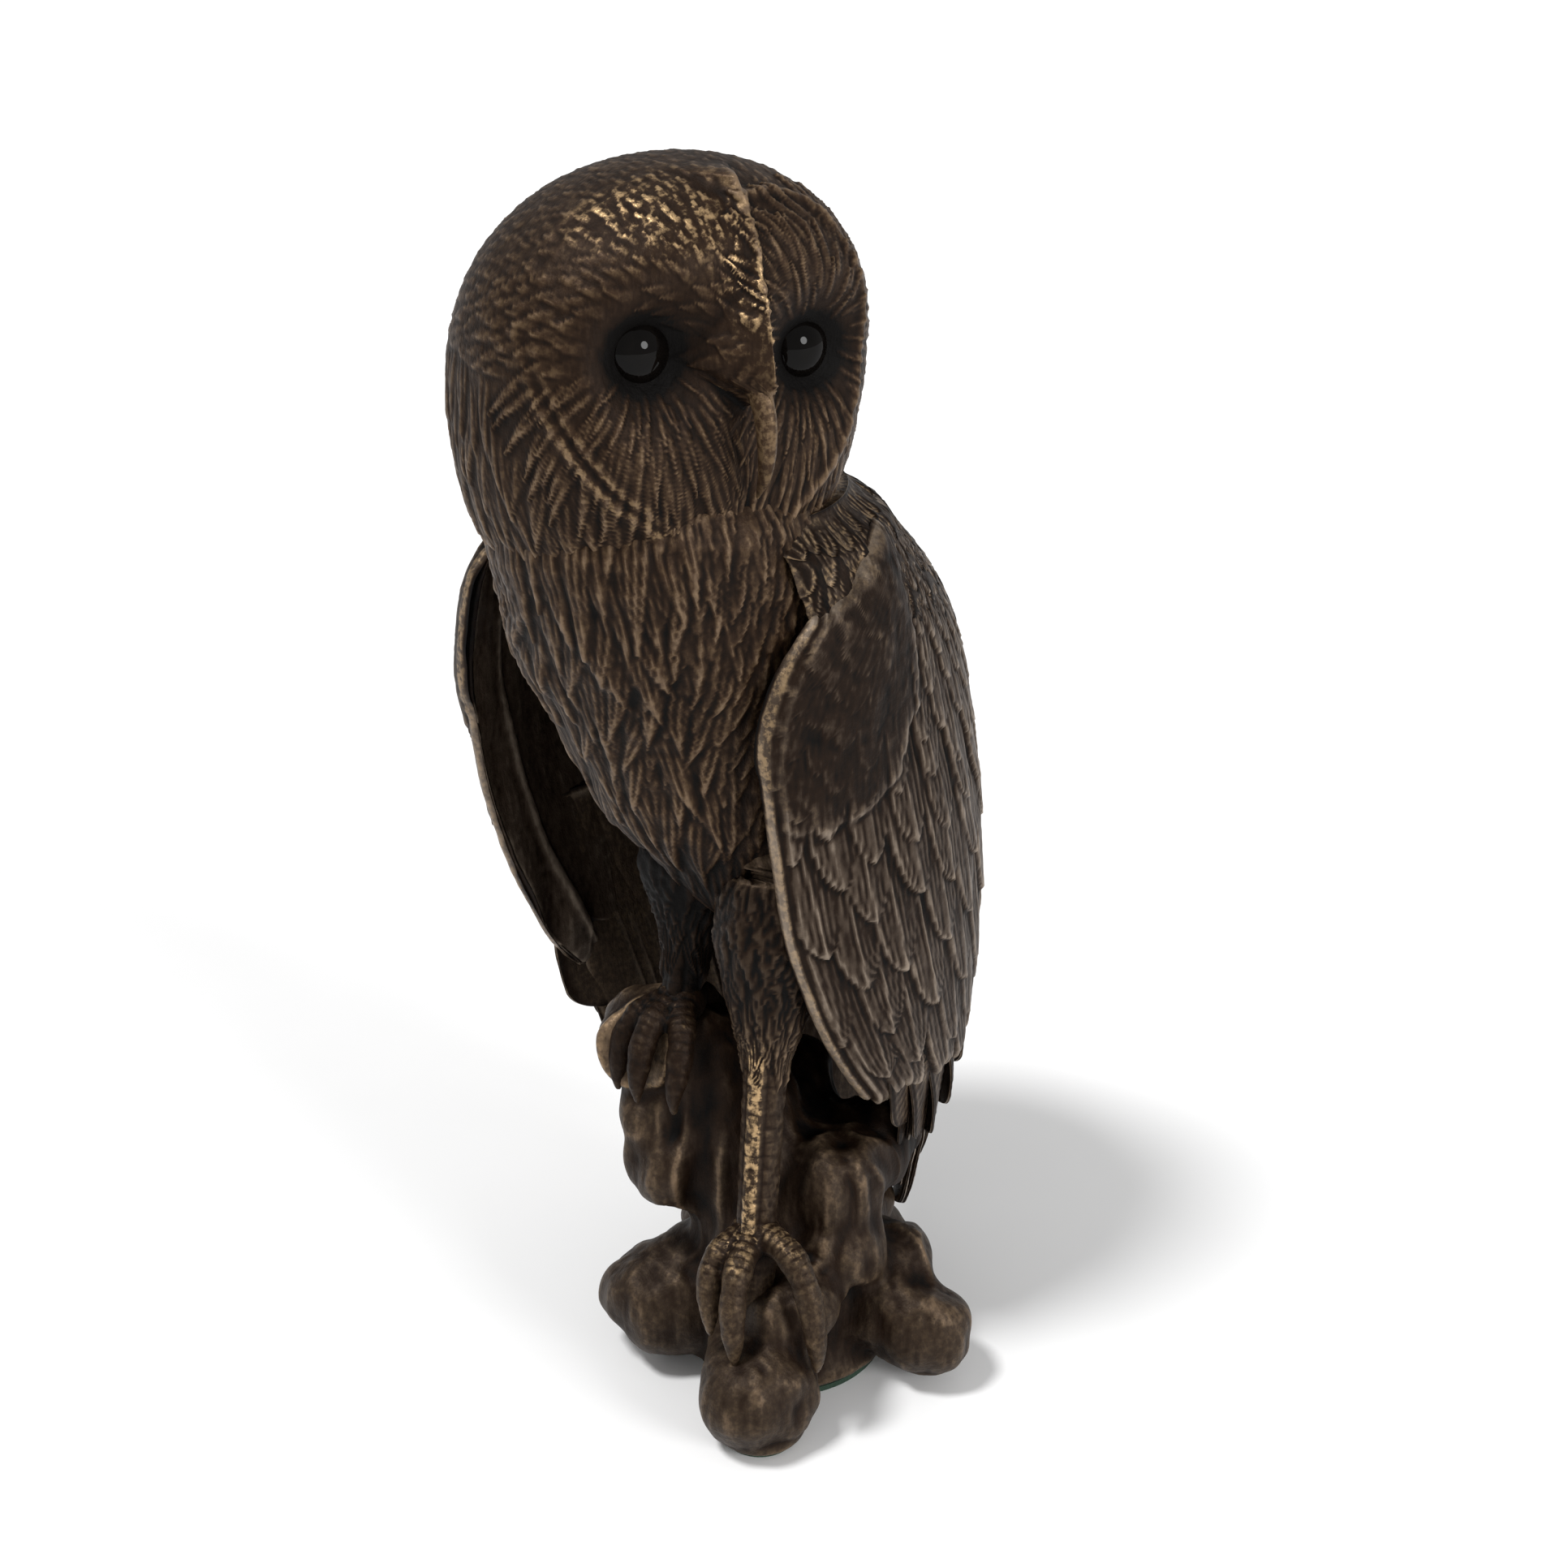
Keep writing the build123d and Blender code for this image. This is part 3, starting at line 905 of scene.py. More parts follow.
def remeshed(shell: Shell, voxel: float) -> Shell:
    """One closed skin over overlapping solids.

    Args:
        shell: the solids.
        voxel: size of the skin's faces in millimetres.

    Returns:
        The skin.
    """
    mesh = bpy.data.meshes.new("skin")
    mesh.from_pydata(shell.points.tolist(), [], shell.quads.tolist() + shell.tris.tolist())
    solid = bpy.data.objects.new("skin", mesh)
    bpy.context.scene.collection.objects.link(solid)
    modifier = solid.modifiers.new("skin", "REMESH")
    modifier.mode = "VOXEL"
    modifier.voxel_size = voxel
    modifier.adaptivity = 0.0
    evaluated = solid.evaluated_get(bpy.context.evaluated_depsgraph_get())
    result = bpy.data.meshes.new_from_object(evaluated)
    points = np.zeros(len(result.vertices) * 3)
    result.vertices.foreach_get("co", points)
    sizes = np.zeros(len(result.polygons), int)
    result.polygons.foreach_get("loop_total", sizes)
    corners = np.zeros(len(result.loops), int)
    result.loops.foreach_get("vertex_index", corners)
    starts = np.concatenate([[0], np.cumsum(sizes)[:-1]])
    quads = corners[starts[sizes == 4][:, None] + np.arange(4)]
    tris = corners[starts[sizes == 3][:, None] + np.arange(3)]
    bpy.data.objects.remove(solid)
    bpy.data.meshes.remove(mesh)
    bpy.data.meshes.remove(result)
    return Shell(points.reshape(-1, 3), quads, tris)


def ball(centre: Sequence[float], radii: Sequence[float], steps: int = 24) -> Shell:
    """Closed ball or egg round a centre.

    Args:
        centre: its middle.
        radii: its half sizes along each axis.
        steps: rings from end to end.

    Returns:
        A closed shell.
    """
    tilt = np.linspace(0.06, math.pi - 0.06, steps)[::-1]
    turn = np.arange(2 * steps) * math.pi / steps
    ring = np.stack(
        [
            np.sin(tilt)[:, None] * np.cos(turn)[None, :],
            np.sin(tilt)[:, None] * np.sin(turn)[None, :],
            np.repeat(np.cos(tilt)[:, None], len(turn), axis=1),
        ],
        axis=-1,
    )
    return closed_tube(ring * np.asarray(radii, float) + np.asarray(centre, float))


def swept_tube(path: Array, radii: Array, steps: int = 20) -> Shell:
    """Closed round tube along a path, with its own radius at each point.

    Args:
        path: places along its middle.
        radii: its radius at each place.
        steps: points round it.

    Returns:
        A closed shell.
    """
    heading = unit(np.gradient(path, axis=0))
    side = unit(np.cross(heading, [0.0, 0.31, 0.95]) + 1e-9)
    rise = np.cross(heading, side)
    turn = np.arange(steps) * 2 * math.pi / steps
    ring = np.cos(turn)[None, :, None] * side[:, None, :] + np.sin(turn)[None, :, None] * rise[:, None, :]
    return closed_tube(path[:, None, :] + ring * radii[:, None, None])


def arc_points(start: Array, middle: Array, end: Array, steps: int) -> Array:
    """Points along the smooth curve through three places.

    Args:
        start: the first place.
        middle: the place half way.
        end: the last place.
        steps: number of points.

    Returns:
        The points.
    """
    share = np.linspace(0, 1, steps)[:, None]
    control = 2 * middle - 0.5 * (start + end)
    return (1 - share) ** 2 * start + 2 * share * (1 - share) * control + share ** 2 * end


# ------------------------------------------------------------------ finishes in use
PLUMAGE = BronzeFinish("bronze_plumage", "bronze_patina")
# Painted light: a lighter copy of the plumage bronze, its raised and pale tones lifted to stand in for the
# stronger light on the coverts; used on the wings, the long feathers and the mantle.
FEATHER_PAINTED_LIGHT = BronzeFinish(
    "bronze_feather", "bronze_feather", raised=(0.068, 0.048, 0.034), pale=(0.270, 0.215, 0.165)
)
ROOT = BronzeFinish("bronze_root", "bronze_stump", raised=(0.038, 0.0245, 0.0155), rough_high=0.42)
FEET = BronzeFinish("bronze_feet", "bronze_worn", raised=(0.044, 0.028, 0.017), rough_high=0.36)
EYE = GlossFinish("eye_black", "eye_glass", (0.0012, 0.001, 0.0009), (0.004, 0.003, 0.0024))
STEEL = PlainFinish(
    "pin_steel", "pin_steel", (0.32, 0.32, 0.33), (0.46, 0.46, 0.47), 1.0, 0.32, 900.0, 0.00004
)
FELT = PlainFinish(
    "felt_green", "felt", (0.012, 0.030, 0.018), (0.028, 0.058, 0.036), 0.0, 0.95, 2400.0, 0.0004
)


class Side(Enum):
    """Which of the owl's own sides a piece is on, and the way along X that the side lies."""

    LEFT = 1
    RIGHT = -1

    @property
    def word(self) -> str:
        """The side's name in node names."""
        return self.name.lower()


@dataclass
class Cloak:
    """The smooth form that the folded wings, the flight feathers and the tail lie on."""

    knots: Knots = (
        (148, -15.8, -3.5, 27.0, 26.5, 27.0),
        (138, -17.5, 1.5, 33.0, 31.5, 35.0),
        (130, -18.5, 6.0, 36.5, 34.5, 39.5),
        (115, -19.0, 9.5, 39.5, 36.5, 43.5),
        (95, -19.0, 11.0, 40.0, 38.5, 42.5),
        (70, -19.0, 12.5, 39.5, 38.5, 36.5),
        (45, -19.0, 14.0, 37.0, 35.5, 31.0),
        (14, -19.0, 16.0, 30.0, 28.5, 24.0),
    )

    def at(self, turn: Array, height: Array, inset: Array) -> Array:
        """Place on the cloak.

        Args:
            turn: angle from the owl's left, through its back at a quarter turn, to its right.
            height: height above the floor.
            inset: depth below the cloak's surface.

        Returns:
            The places.
        """
        middle_x, middle_y, depth, left, right = (profile(height, self.knots, k) for k in range(1, 6))
        blend = ease(-0.12, 0.12, np.cos(turn))
        width = right + (left - right) * blend
        x = middle_x + (width - inset) * np.cos(turn)
        y = middle_y + (depth - inset) * np.sin(turn)
        return np.stack([x, y, height + 0.0 * x], axis=-1)

    def front_turn(self, height: Array, forward: Array) -> Array:
        """Angle at which the cloak passes a distance along Y."""
        middle, depth = profile(height, self.knots, 2), profile(height, self.knots, 3)
        return np.arcsin(np.clip((forward - middle) / depth, -0.98, 0.98))


@dataclass
class Wing:
    """One folded wing: a shell of coverts with a padded wrist and a double leading edge."""

    side: Side
    front_edge: Knots
    cloak: Cloak = field(default_factory=Cloak)
    wall: float = 4.2
    top: float = 146.5
    front_top: float = 137.5
    breadth: float = 75.0
    depth: float = 95.0
    rows: int = 236
    columns: int = 168
    seed: int = 11

    def lower_edge(self, across: Array) -> Array:
        """Height of the wing's lower edge, with the ends of the coverts cut into it.

        Args:
            across: 0 at the front edge to 1 at the spine.

        Returns:
            The heights.
        """
        knots = ((0.0, 53.0), (0.3, 49.0), (0.55, 50.0), (0.8, 58.0), (1.0, 66.0))
        smooth = profile(across, knots, 1, 0.03)
        scallop = np.abs(np.sin(across * math.pi * 7.0 + 0.6))
        return smooth + 3.2 * (1.0 - scallop ** 0.7)

    def surface(self, across: Array, down: Array, inset: Array) -> Array:
        """Place on the wing.

        Args:
            across: 0 at the front edge to 1 at the spine.
            down: 0 at the top to 1 at the lower edge.
            inset: depth below the outside.

        Returns:
            The places.
        """
        high = self.front_top + (self.top - self.front_top) * ease(0.0, 0.22, across)
        height = high + (self.lower_edge(across) - high) * down
        front = self.cloak.front_turn(height, profile(height, self.front_edge, 1))
        back = math.pi / 2 - 0.012
        turn = front + (back - front) * across
        if self.side is Side.RIGHT:
            turn = math.pi - turn
        return self.cloak.at(turn, height, inset)

    def _grid(self) -> list[Array]:
        """Shares of the way down and across for each point of the outside."""
        return np.meshgrid(np.linspace(0, 1, self.rows), np.linspace(0, 1, self.columns), indexing="ij")

    def shell(self) -> Shell:
        """The bare wing.

        Returns:
            A closed shell, with the points of the outside first.
        """
        down, across = self._grid()
        sideways = np.minimum(across * self.breadth, (1 - across) * self.breadth)
        margin = np.minimum(sideways, np.minimum(down, 1 - down) * self.depth)
        rounding = 1.0 - np.sqrt(1.0 - np.clip(1.0 - margin / 2.2, 0, 1) ** 2)
        outer = self.surface(across, down, 1.15 * rounding)
        thin = np.clip(1.0 - margin / 9.0, 0, 1)
        inner = self.surface(across, down, self.wall - (self.wall - 1.35) * thin)
        return thick_sheet(outer, inner).outward()

    def build(self, shop: Workshop) -> bpy.types.Object:
        """Makes the wing with its plumage.

        Args:
            shop: the workshop that makes it.

        Returns:
            The wing.
        """
        rng = np.random.default_rng(self.seed)
        shell = self.shell()
        relief = Relief(shell)
        size = self.rows * self.columns
        down, across = (grid.ravel() for grid in self._grid())
        self._lay_coverts(relief, rng)
        outside = np.zeros(len(shell.points))
        outside[:size] = 1.0
        oval = 1.0 - ((across - 0.13) / 0.19) ** 2 - ((down - 0.19) / 0.23) ** 2
        oval += 0.16 * layered_noise(shell.points[:size], 6.0, self.seed + 1)
        pad = ease(-0.02, 0.40, oval)
        height = relief.height[:size]
        mottle = 0.24 * lattice_noise(shell.points[:size], (4.2, 4.2, 5.5), self.seed)
        height = height * (1 - pad) + 0.22 * height * pad + (0.45 + mottle) * pad
        height += 2.0 * np.sqrt(np.clip(oval + 0.08, 0, 1)) * ease(-0.08, 0.1, oval)
        step = across * self.breadth
        rim = bump(step, 0.8, 0.7) * 0.55 - bump(step, 1.9, 0.6) * 0.35
        rim += bump(step, 3.0, 0.7) * 0.45 * ease(0.35, 0.5, down)
        near_edge = ease(0.030, 0.014, across) * (1 - 0.8 * pad)
        relief.height[:size] = height * (1 - near_edge) + (0.30 + rim) * near_edge
        relief.height[size:] = 0.55 * bump(step, 7.5, 1.1) - 0.5 * ease(8.5, 9.5, step)
        relief.height[size:] += 0.8 * lattice_noise(shell.points[size:], (5.0, 5.0, 16.0), self.seed + 5)
        grain = lattice_noise(shell.points, (1.0, 1.0, 1.6), self.seed + 3)
        relief.add(0.06 * grain + 0.10 * layered_noise(shell.points, 5.0, self.seed + 9))
        relief.carve()
        wear = np.zeros(len(shell.points))
        wear[:size] = 0.15 * bump(step, 0.8, 0.7) + 0.06 * pad
        # Painted light and shade: the left wing's inside is darkened as painted shade and the right wing's
        # inside lightened as painted light; on the outside, painted shade darkens the lit front edge and the
        # wrist pad, and painted light brightens the left wing's coverts towards the spine.
        painted_shading = (0.16 if self.side is Side.LEFT else -0.12) * (1.0 - outside)
        painted_shading[:size] = 0.10 * ease(3.5, 1.0, step) + 0.16 * pad
        if self.side is Side.LEFT:
            painted_shading[:size] -= 0.10 * (1 - pad) * ease(20.0, 55.0, step)
        node = "wing_" + self.side.word
        return shop.piece(node + "_plumage", shell, FEATHER_PAINTED_LIGHT, [node], wear, painted_shading)

    def _lay_coverts(self, relief: Relief, rng: np.random.Generator) -> None:
        """Lays the rows of coverts from the lower edge up to the wrist.

        Args:
            relief: the wing's relief.
            rng: source of the coverts' small differences.
        """
        down = 0.97
        row = 0
        while down > 0.02:
            scale = 0.25 + 0.75 * ease(0.05, 0.72, np.array(down)).item()
            cut = FeatherCut(
                32.0 * scale, 4.9 * scale ** 0.75, 0.55 + 0.95 * scale, Tip.ROUND, 0.26 * scale, 0.07,
                1.30, 0.12, 0.16, 0.25, 0.06, 0.16, -0.34 * self.side.value * scale,
            )
            pitch = cut.half_width * 1.72 / self.breadth
            start = 0.03 + (row % 2) * pitch * 0.5
            for across in np.arange(start, 1.02, pitch):
                at_across = across + rng.uniform(-0.12, 0.12) * pitch
                at_down = down - cut.length * 0.75 / self.depth + rng.uniform(-0.008, 0.008)
                ends = np.array([[at_across, at_down], [at_across + 0.0014, at_down + 0.012]])
                spots = self.surface(ends[:, 0], ends[:, 1], np.zeros(2))
                relief.lay(spots[0], unit(spots[1] - spots[0]), cut, rng)
            down -= cut.length * 0.32 / self.depth
            row += 1


@dataclass(frozen=True)
class Quill:
    """Place and size of one long feather."""

    root_turn: float
    tip_turn: float
    root_height: float
    tip_height: float
    inset: float
    half_width: float = 4.3


@dataclass
class QuillFan:
    """Long stiff feathers that lie side by side on the cloak, each a blade of its own."""

    name: str
    node: str
    quills: Sequence[Quill]
    side: Side = Side.LEFT
    cloak: Cloak = field(default_factory=Cloak)
    tilt: float = 1.0
    thickness: float = 1.1
    bend_radius: float = 36.0
    barb_height: float = 0.055
    barb_pitch: float = 1.9
    rows: int = 96
    columns: int = 22
    seed: int = 31

    def blade(self, quill: Quill, rng: np.random.Generator) -> Shell:
        """Makes one feather.

        Args:
            quill: its place and size.
            rng: source of its barbs' differences.

        Returns:
            A closed shell.
        """
        along, across = np.meshgrid(
            np.linspace(0, 1, self.rows) ** 0.92, np.linspace(-1, 1, self.columns), indexing="ij"
        )
        taper = np.sqrt(np.clip(1.0 - np.clip((along - 0.84) / 0.165, 0, 1) ** 2.0, 0.0, 1))
        width = quill.half_width * np.maximum(taper, 0.05) * (0.86 + 0.14 * ease(0, 0.3, along))
        height = quill.root_height + (quill.tip_height - quill.root_height) * along
        turn = quill.root_turn + (quill.tip_turn - quill.root_turn) * along
        turn = turn + across * width / self.bend_radius
        height = height + 0.9 * np.abs(across) * width * 0.10
        phase = rng.uniform(0, 6.28)
        reach = quill.root_height - quill.tip_height
        slant = along * reach - np.abs(across) * 3.4
        barbs = self.barb_height * np.sin(slant * 6.283 / self.barb_pitch + phase)
        flat = np.stack([along * reach, across * 4.0, 0 * along], axis=-1).reshape(-1, 3)
        splits = 0.22 * lattice_noise(flat, (3.0, 1.6, 1.0), self.seed).reshape(along.shape)
        dome = 0.55 * (1 - across ** 2) + 0.34 * bump(across, 0.12, 0.09)
        dome += 0.16 * bump(np.abs(across), 0.88, 0.1)
        tilt = 0.45 * self.tilt * across * width * ease(0.15, 0.8, along)
        face = quill.inset + tilt - dome - barbs * (1 - across ** 2) ** 0.5 - splits * 0.6
        back = quill.inset + tilt + self.thickness - 0.9 * (1 - np.sqrt(1 - 0.98 * across ** 2))
        if self.side is Side.RIGHT:
            turn = math.pi - turn
        return thick_sheet(self.cloak.at(turn, height, face), self.cloak.at(turn, height, back)).outward()

    def build(self, shop: Workshop) -> bpy.types.Object:
        """Makes the fan.

        Args:
            shop: the workshop that makes it.

        Returns:
            The fan.
        """
        rng = np.random.default_rng(self.seed)
        shell = self.blade(self.quills[0], rng)
        for quill in self.quills[1:]:
            shell = shell.joined(self.blade(quill, rng))
        wear = np.full(len(shell.points), 0.05)
        # Painted light: the blades are drawn lighter in proportion to their tilt, as if lit where they lie in
        # the wing's shadow.
        painted_shading = np.full(len(shell.points), -0.08 * self.tilt)
        return shop.piece(self.name, shell, FEATHER_PAINTED_LIGHT, [self.node] if self.node else [], wear, painted_shading)


def flight_quills() -> list[Quill]:
    """The primaries and secondaries of a folded wing, front ones outermost.

    Returns:
        The feathers, front ones first.
    """
    tips = (33.0, 24.5, 18.0, 15.5, 21.5, 28.0, 34.5, 40.5, 46.0)
    turns = (2.0, 8.0, 14.5, 21.5, 32.0, 43.0, 54.0, 65.5, 77.0)
    quills = []
    for number, (tip, turn) in enumerate(zip(tips, turns)):
        root = math.radians(turn * 0.9 - 9.0)
        inset = 2.4 + 0.20 * number
        quills.append(Quill(root, math.radians(turn), 84.0, tip, inset, 5.0 - 0.08 * number))
    return quills


def greater_quills() -> list[Quill]:
    """The greater coverts, whose ends stand free over the primaries.

    Returns:
        The feathers, front ones first.
    """
    tips = (44.0, 38.0, 35.0, 37.0, 41.5, 46.5, 51.5, 57.0, 62.0)
    turns = (-6.0, 3.5, 14.0, 25.0, 36.0, 47.0, 58.0, 69.5, 81.0)
    quills = []
    for number, (tip, turn) in enumerate(zip(tips, turns)):
        root = math.radians(turn * 0.93 - 5.0)
        quills.append(Quill(root, math.radians(turn), tip + 27.0, tip, 0.5 + 0.14 * number, 5.0))
    return quills


def tail_quills() -> list[Quill]:
    """The tail's feathers on both sides of the spine.

    Returns:
        The feathers, from the owl's left to its right.
    """
    spread = (-26.0, -20.0, -14.0, -8.0, -2.5, 2.5, 8.0, 14.0, 20.0, 26.0)
    tips = (22.0, 18.0, 14.5, 12.0, 10.5, 10.5, 12.0, 14.5, 18.0, 22.0)
    quills = []
    for number, (turn, tip) in enumerate(zip(spread, tips)):
        middle = math.pi / 2
        inset = 6.2 + 0.25 * abs(number - 4.5)
        quills.append(
            Quill(middle + math.radians(turn) * 0.7, middle + math.radians(turn), 84.0, tip, inset, 3.9)
        )
    return quills


@dataclass
class Mantle:
    """Small feathers over the upper back that cover the seam between the wings."""

    cloak: Cloak = field(default_factory=Cloak)
    top: float = 151.0
    side_edge: float = 136.0
    point_drop: float = 40.0
    rows: int = 120
    columns: int = 300
    reach: float = math.radians(112)
    seed: int = 51

    def surface(self, across: Array, down: Array, inset: Array) -> Array:
        """Place on the mantle.

        Args:
            across: -1 on the owl's left to 1 on its right.
            down: 0 at the top to 1 at the lower edge.
            inset: depth below the cloak.

        Returns:
            The places.
        """
        turn = math.pi / 2 + across * self.reach
        point = 1.0 - np.abs(across) ** 0.9
        scallop = 1.0 - np.abs(np.sin(across * 17.0)) ** 0.7
        low = self.side_edge - self.point_drop * point ** 1.4 + 2.2 * scallop
        height = self.top + (low - self.top) * down
        return self.cloak.at(turn, height, inset + 4.6 * ease(145.0, self.top, height))

    def build(self, shop: Workshop) -> bpy.types.Object:
        """Makes the mantle with its plumage.

        Args:
            shop: the workshop that makes it.

        Returns:
            The mantle.
        """
        rng = np.random.default_rng(self.seed)
        steps = (np.linspace(0, 1, self.rows), np.linspace(-1, 1, self.columns))
        down, across = np.meshgrid(*steps, indexing="ij")
        margin = np.minimum((1 - np.abs(across)) * 50.0, (1 - down) * 40.0)
        rounding = np.clip(1 - margin / 3.0, 0, 1) ** 2
        outer = self.surface(across, down, -0.9 + 1.3 * rounding)
        inner = self.surface(across, down, 0.9 + 0.0 * across)
        shell = thick_sheet(outer, inner).outward()
        relief = Relief(shell)
        where = np.zeros(len(shell.points), bool)
        where[: self.rows * self.columns] = True
        cut = FeatherCut(9.0, 2.7, 0.90, Tip.ROUND, 0.14, 0.06, 1.40, 0.25, 0.20, 0.3, 0.08, 0.12)
        relief.cover(
            where, 3.4, cut, rng,
            heading=lambda p: np.tile([0.0, 0.05, -1.0], (len(p), 1)),
            order=lambda p: p[:, 2],
            size=lambda p: 0.62 + 0.4 * ease(146, 105, p[:, 2]),
        )
        relief.height[~where] = 0.0
        relief.add(0.07 * layered_noise(shell.points, 2.0, self.seed))
        relief.carve()
        return shop.piece("mantle_plumage", shell, FEATHER_PAINTED_LIGHT, (), np.full(len(shell.points), 0.2))


@dataclass
class Torso:
    """The breast and belly, with flame-shaped locks."""

    knots: Knots = (
        (161, -16.9, -9.9, 12.0, 14.0),
        (157, -17.3, -10.2, 21.5, 24.0),
        (152, -17.4, -9.6, 24.3, 27.0),
        (147, -17.0, -8.4, 24.9, 28.2),
        (140, -16.8, -5.4, 25.6, 28.8),
        (128, -17.6, -1.0, 26.6, 29.8),
        (115, -16.0, 3.0, 25.0, 28.0),
        (100, -12.5, 6.5, 21.0, 26.5),
        (90, -9.0, 10.0, 16.5, 23.0),
        (81, -7.0, 12.5, 12.5, 18.0),
        (77, -6.0, 14.0, 8.0, 12.0),
    )
    rows: int = 190
    columns: int = 330
    seed: int = 61

    def build(self, shop: Workshop) -> bpy.types.Object:
        """Makes the torso with its plumage.

        Args:
            shop: the workshop that makes it.

        Returns:
            The torso.
        """
        rng = np.random.default_rng(self.seed)
        height = np.linspace(77, 161, self.rows)[:, None]
        turn = (np.arange(self.columns) * 2 * math.pi / self.columns)[None, :]
        x, y, wide, deep = (profile(height, self.knots, k, 1.2) for k in range(1, 5))
        points = np.stack([x + wide * np.cos(turn), y + deep * np.sin(turn), height + 0 * turn], axis=-1)
        shell = closed_tube(points).outward()
        relief = Relief(shell)
        down = FeatherCut(7.0, 1.4, 0.42, Tip.POINTED, 0.0, 0.0, 1.50, 0.8, 0.35, 0.6, 0.1)
        relief.cover(shell.points[:, 2] < 158, 2.3, down, rng, heading=self._flow, order=lambda p: p[:, 2])
        lock = FeatherCut(15.0, 2.7, 1.15, Tip.POINTED, 0.0, 0.09, 1.60, 1.1, 0.40, 0.6, 0.0)
        relief.cover(
            shell.points[:, 2] < 156, 4.3, lock, rng,
            heading=self._flow,
            order=lambda p: p[:, 2],
            size=lambda p: 0.45 + 0.60 * ease(2.0, -14.0, p[:, 0] + 0.35 * p[:, 1]) * ease(78, 95, p[:, 2]),
        )
        relief.add(0.34 * layered_noise(shell.points, 6.0, self.seed))
        relief.carve()
        # Painted shade: the lower belly is darkened towards the bottom, where shade falls between the belly,
        # the legs and the stump.
        painted_shading = 0.30 * ease(104, 88, shell.points[:, 2])
        return shop.piece("torso_plumage", shell, PLUMAGE, ["torso"], np.full(len(shell.points), 0.03), painted_shading)

    def _flow(self, places: Array) -> Array:
        """Way that the locks lie at each place: down, waving from side to side."""
        wave = 0.35 * lattice_noise(places, (12.0, 12.0, 18.0), self.seed + 2)
        return np.stack([wave, 0.3 * wave, np.full(len(places), -1.0)], axis=1)


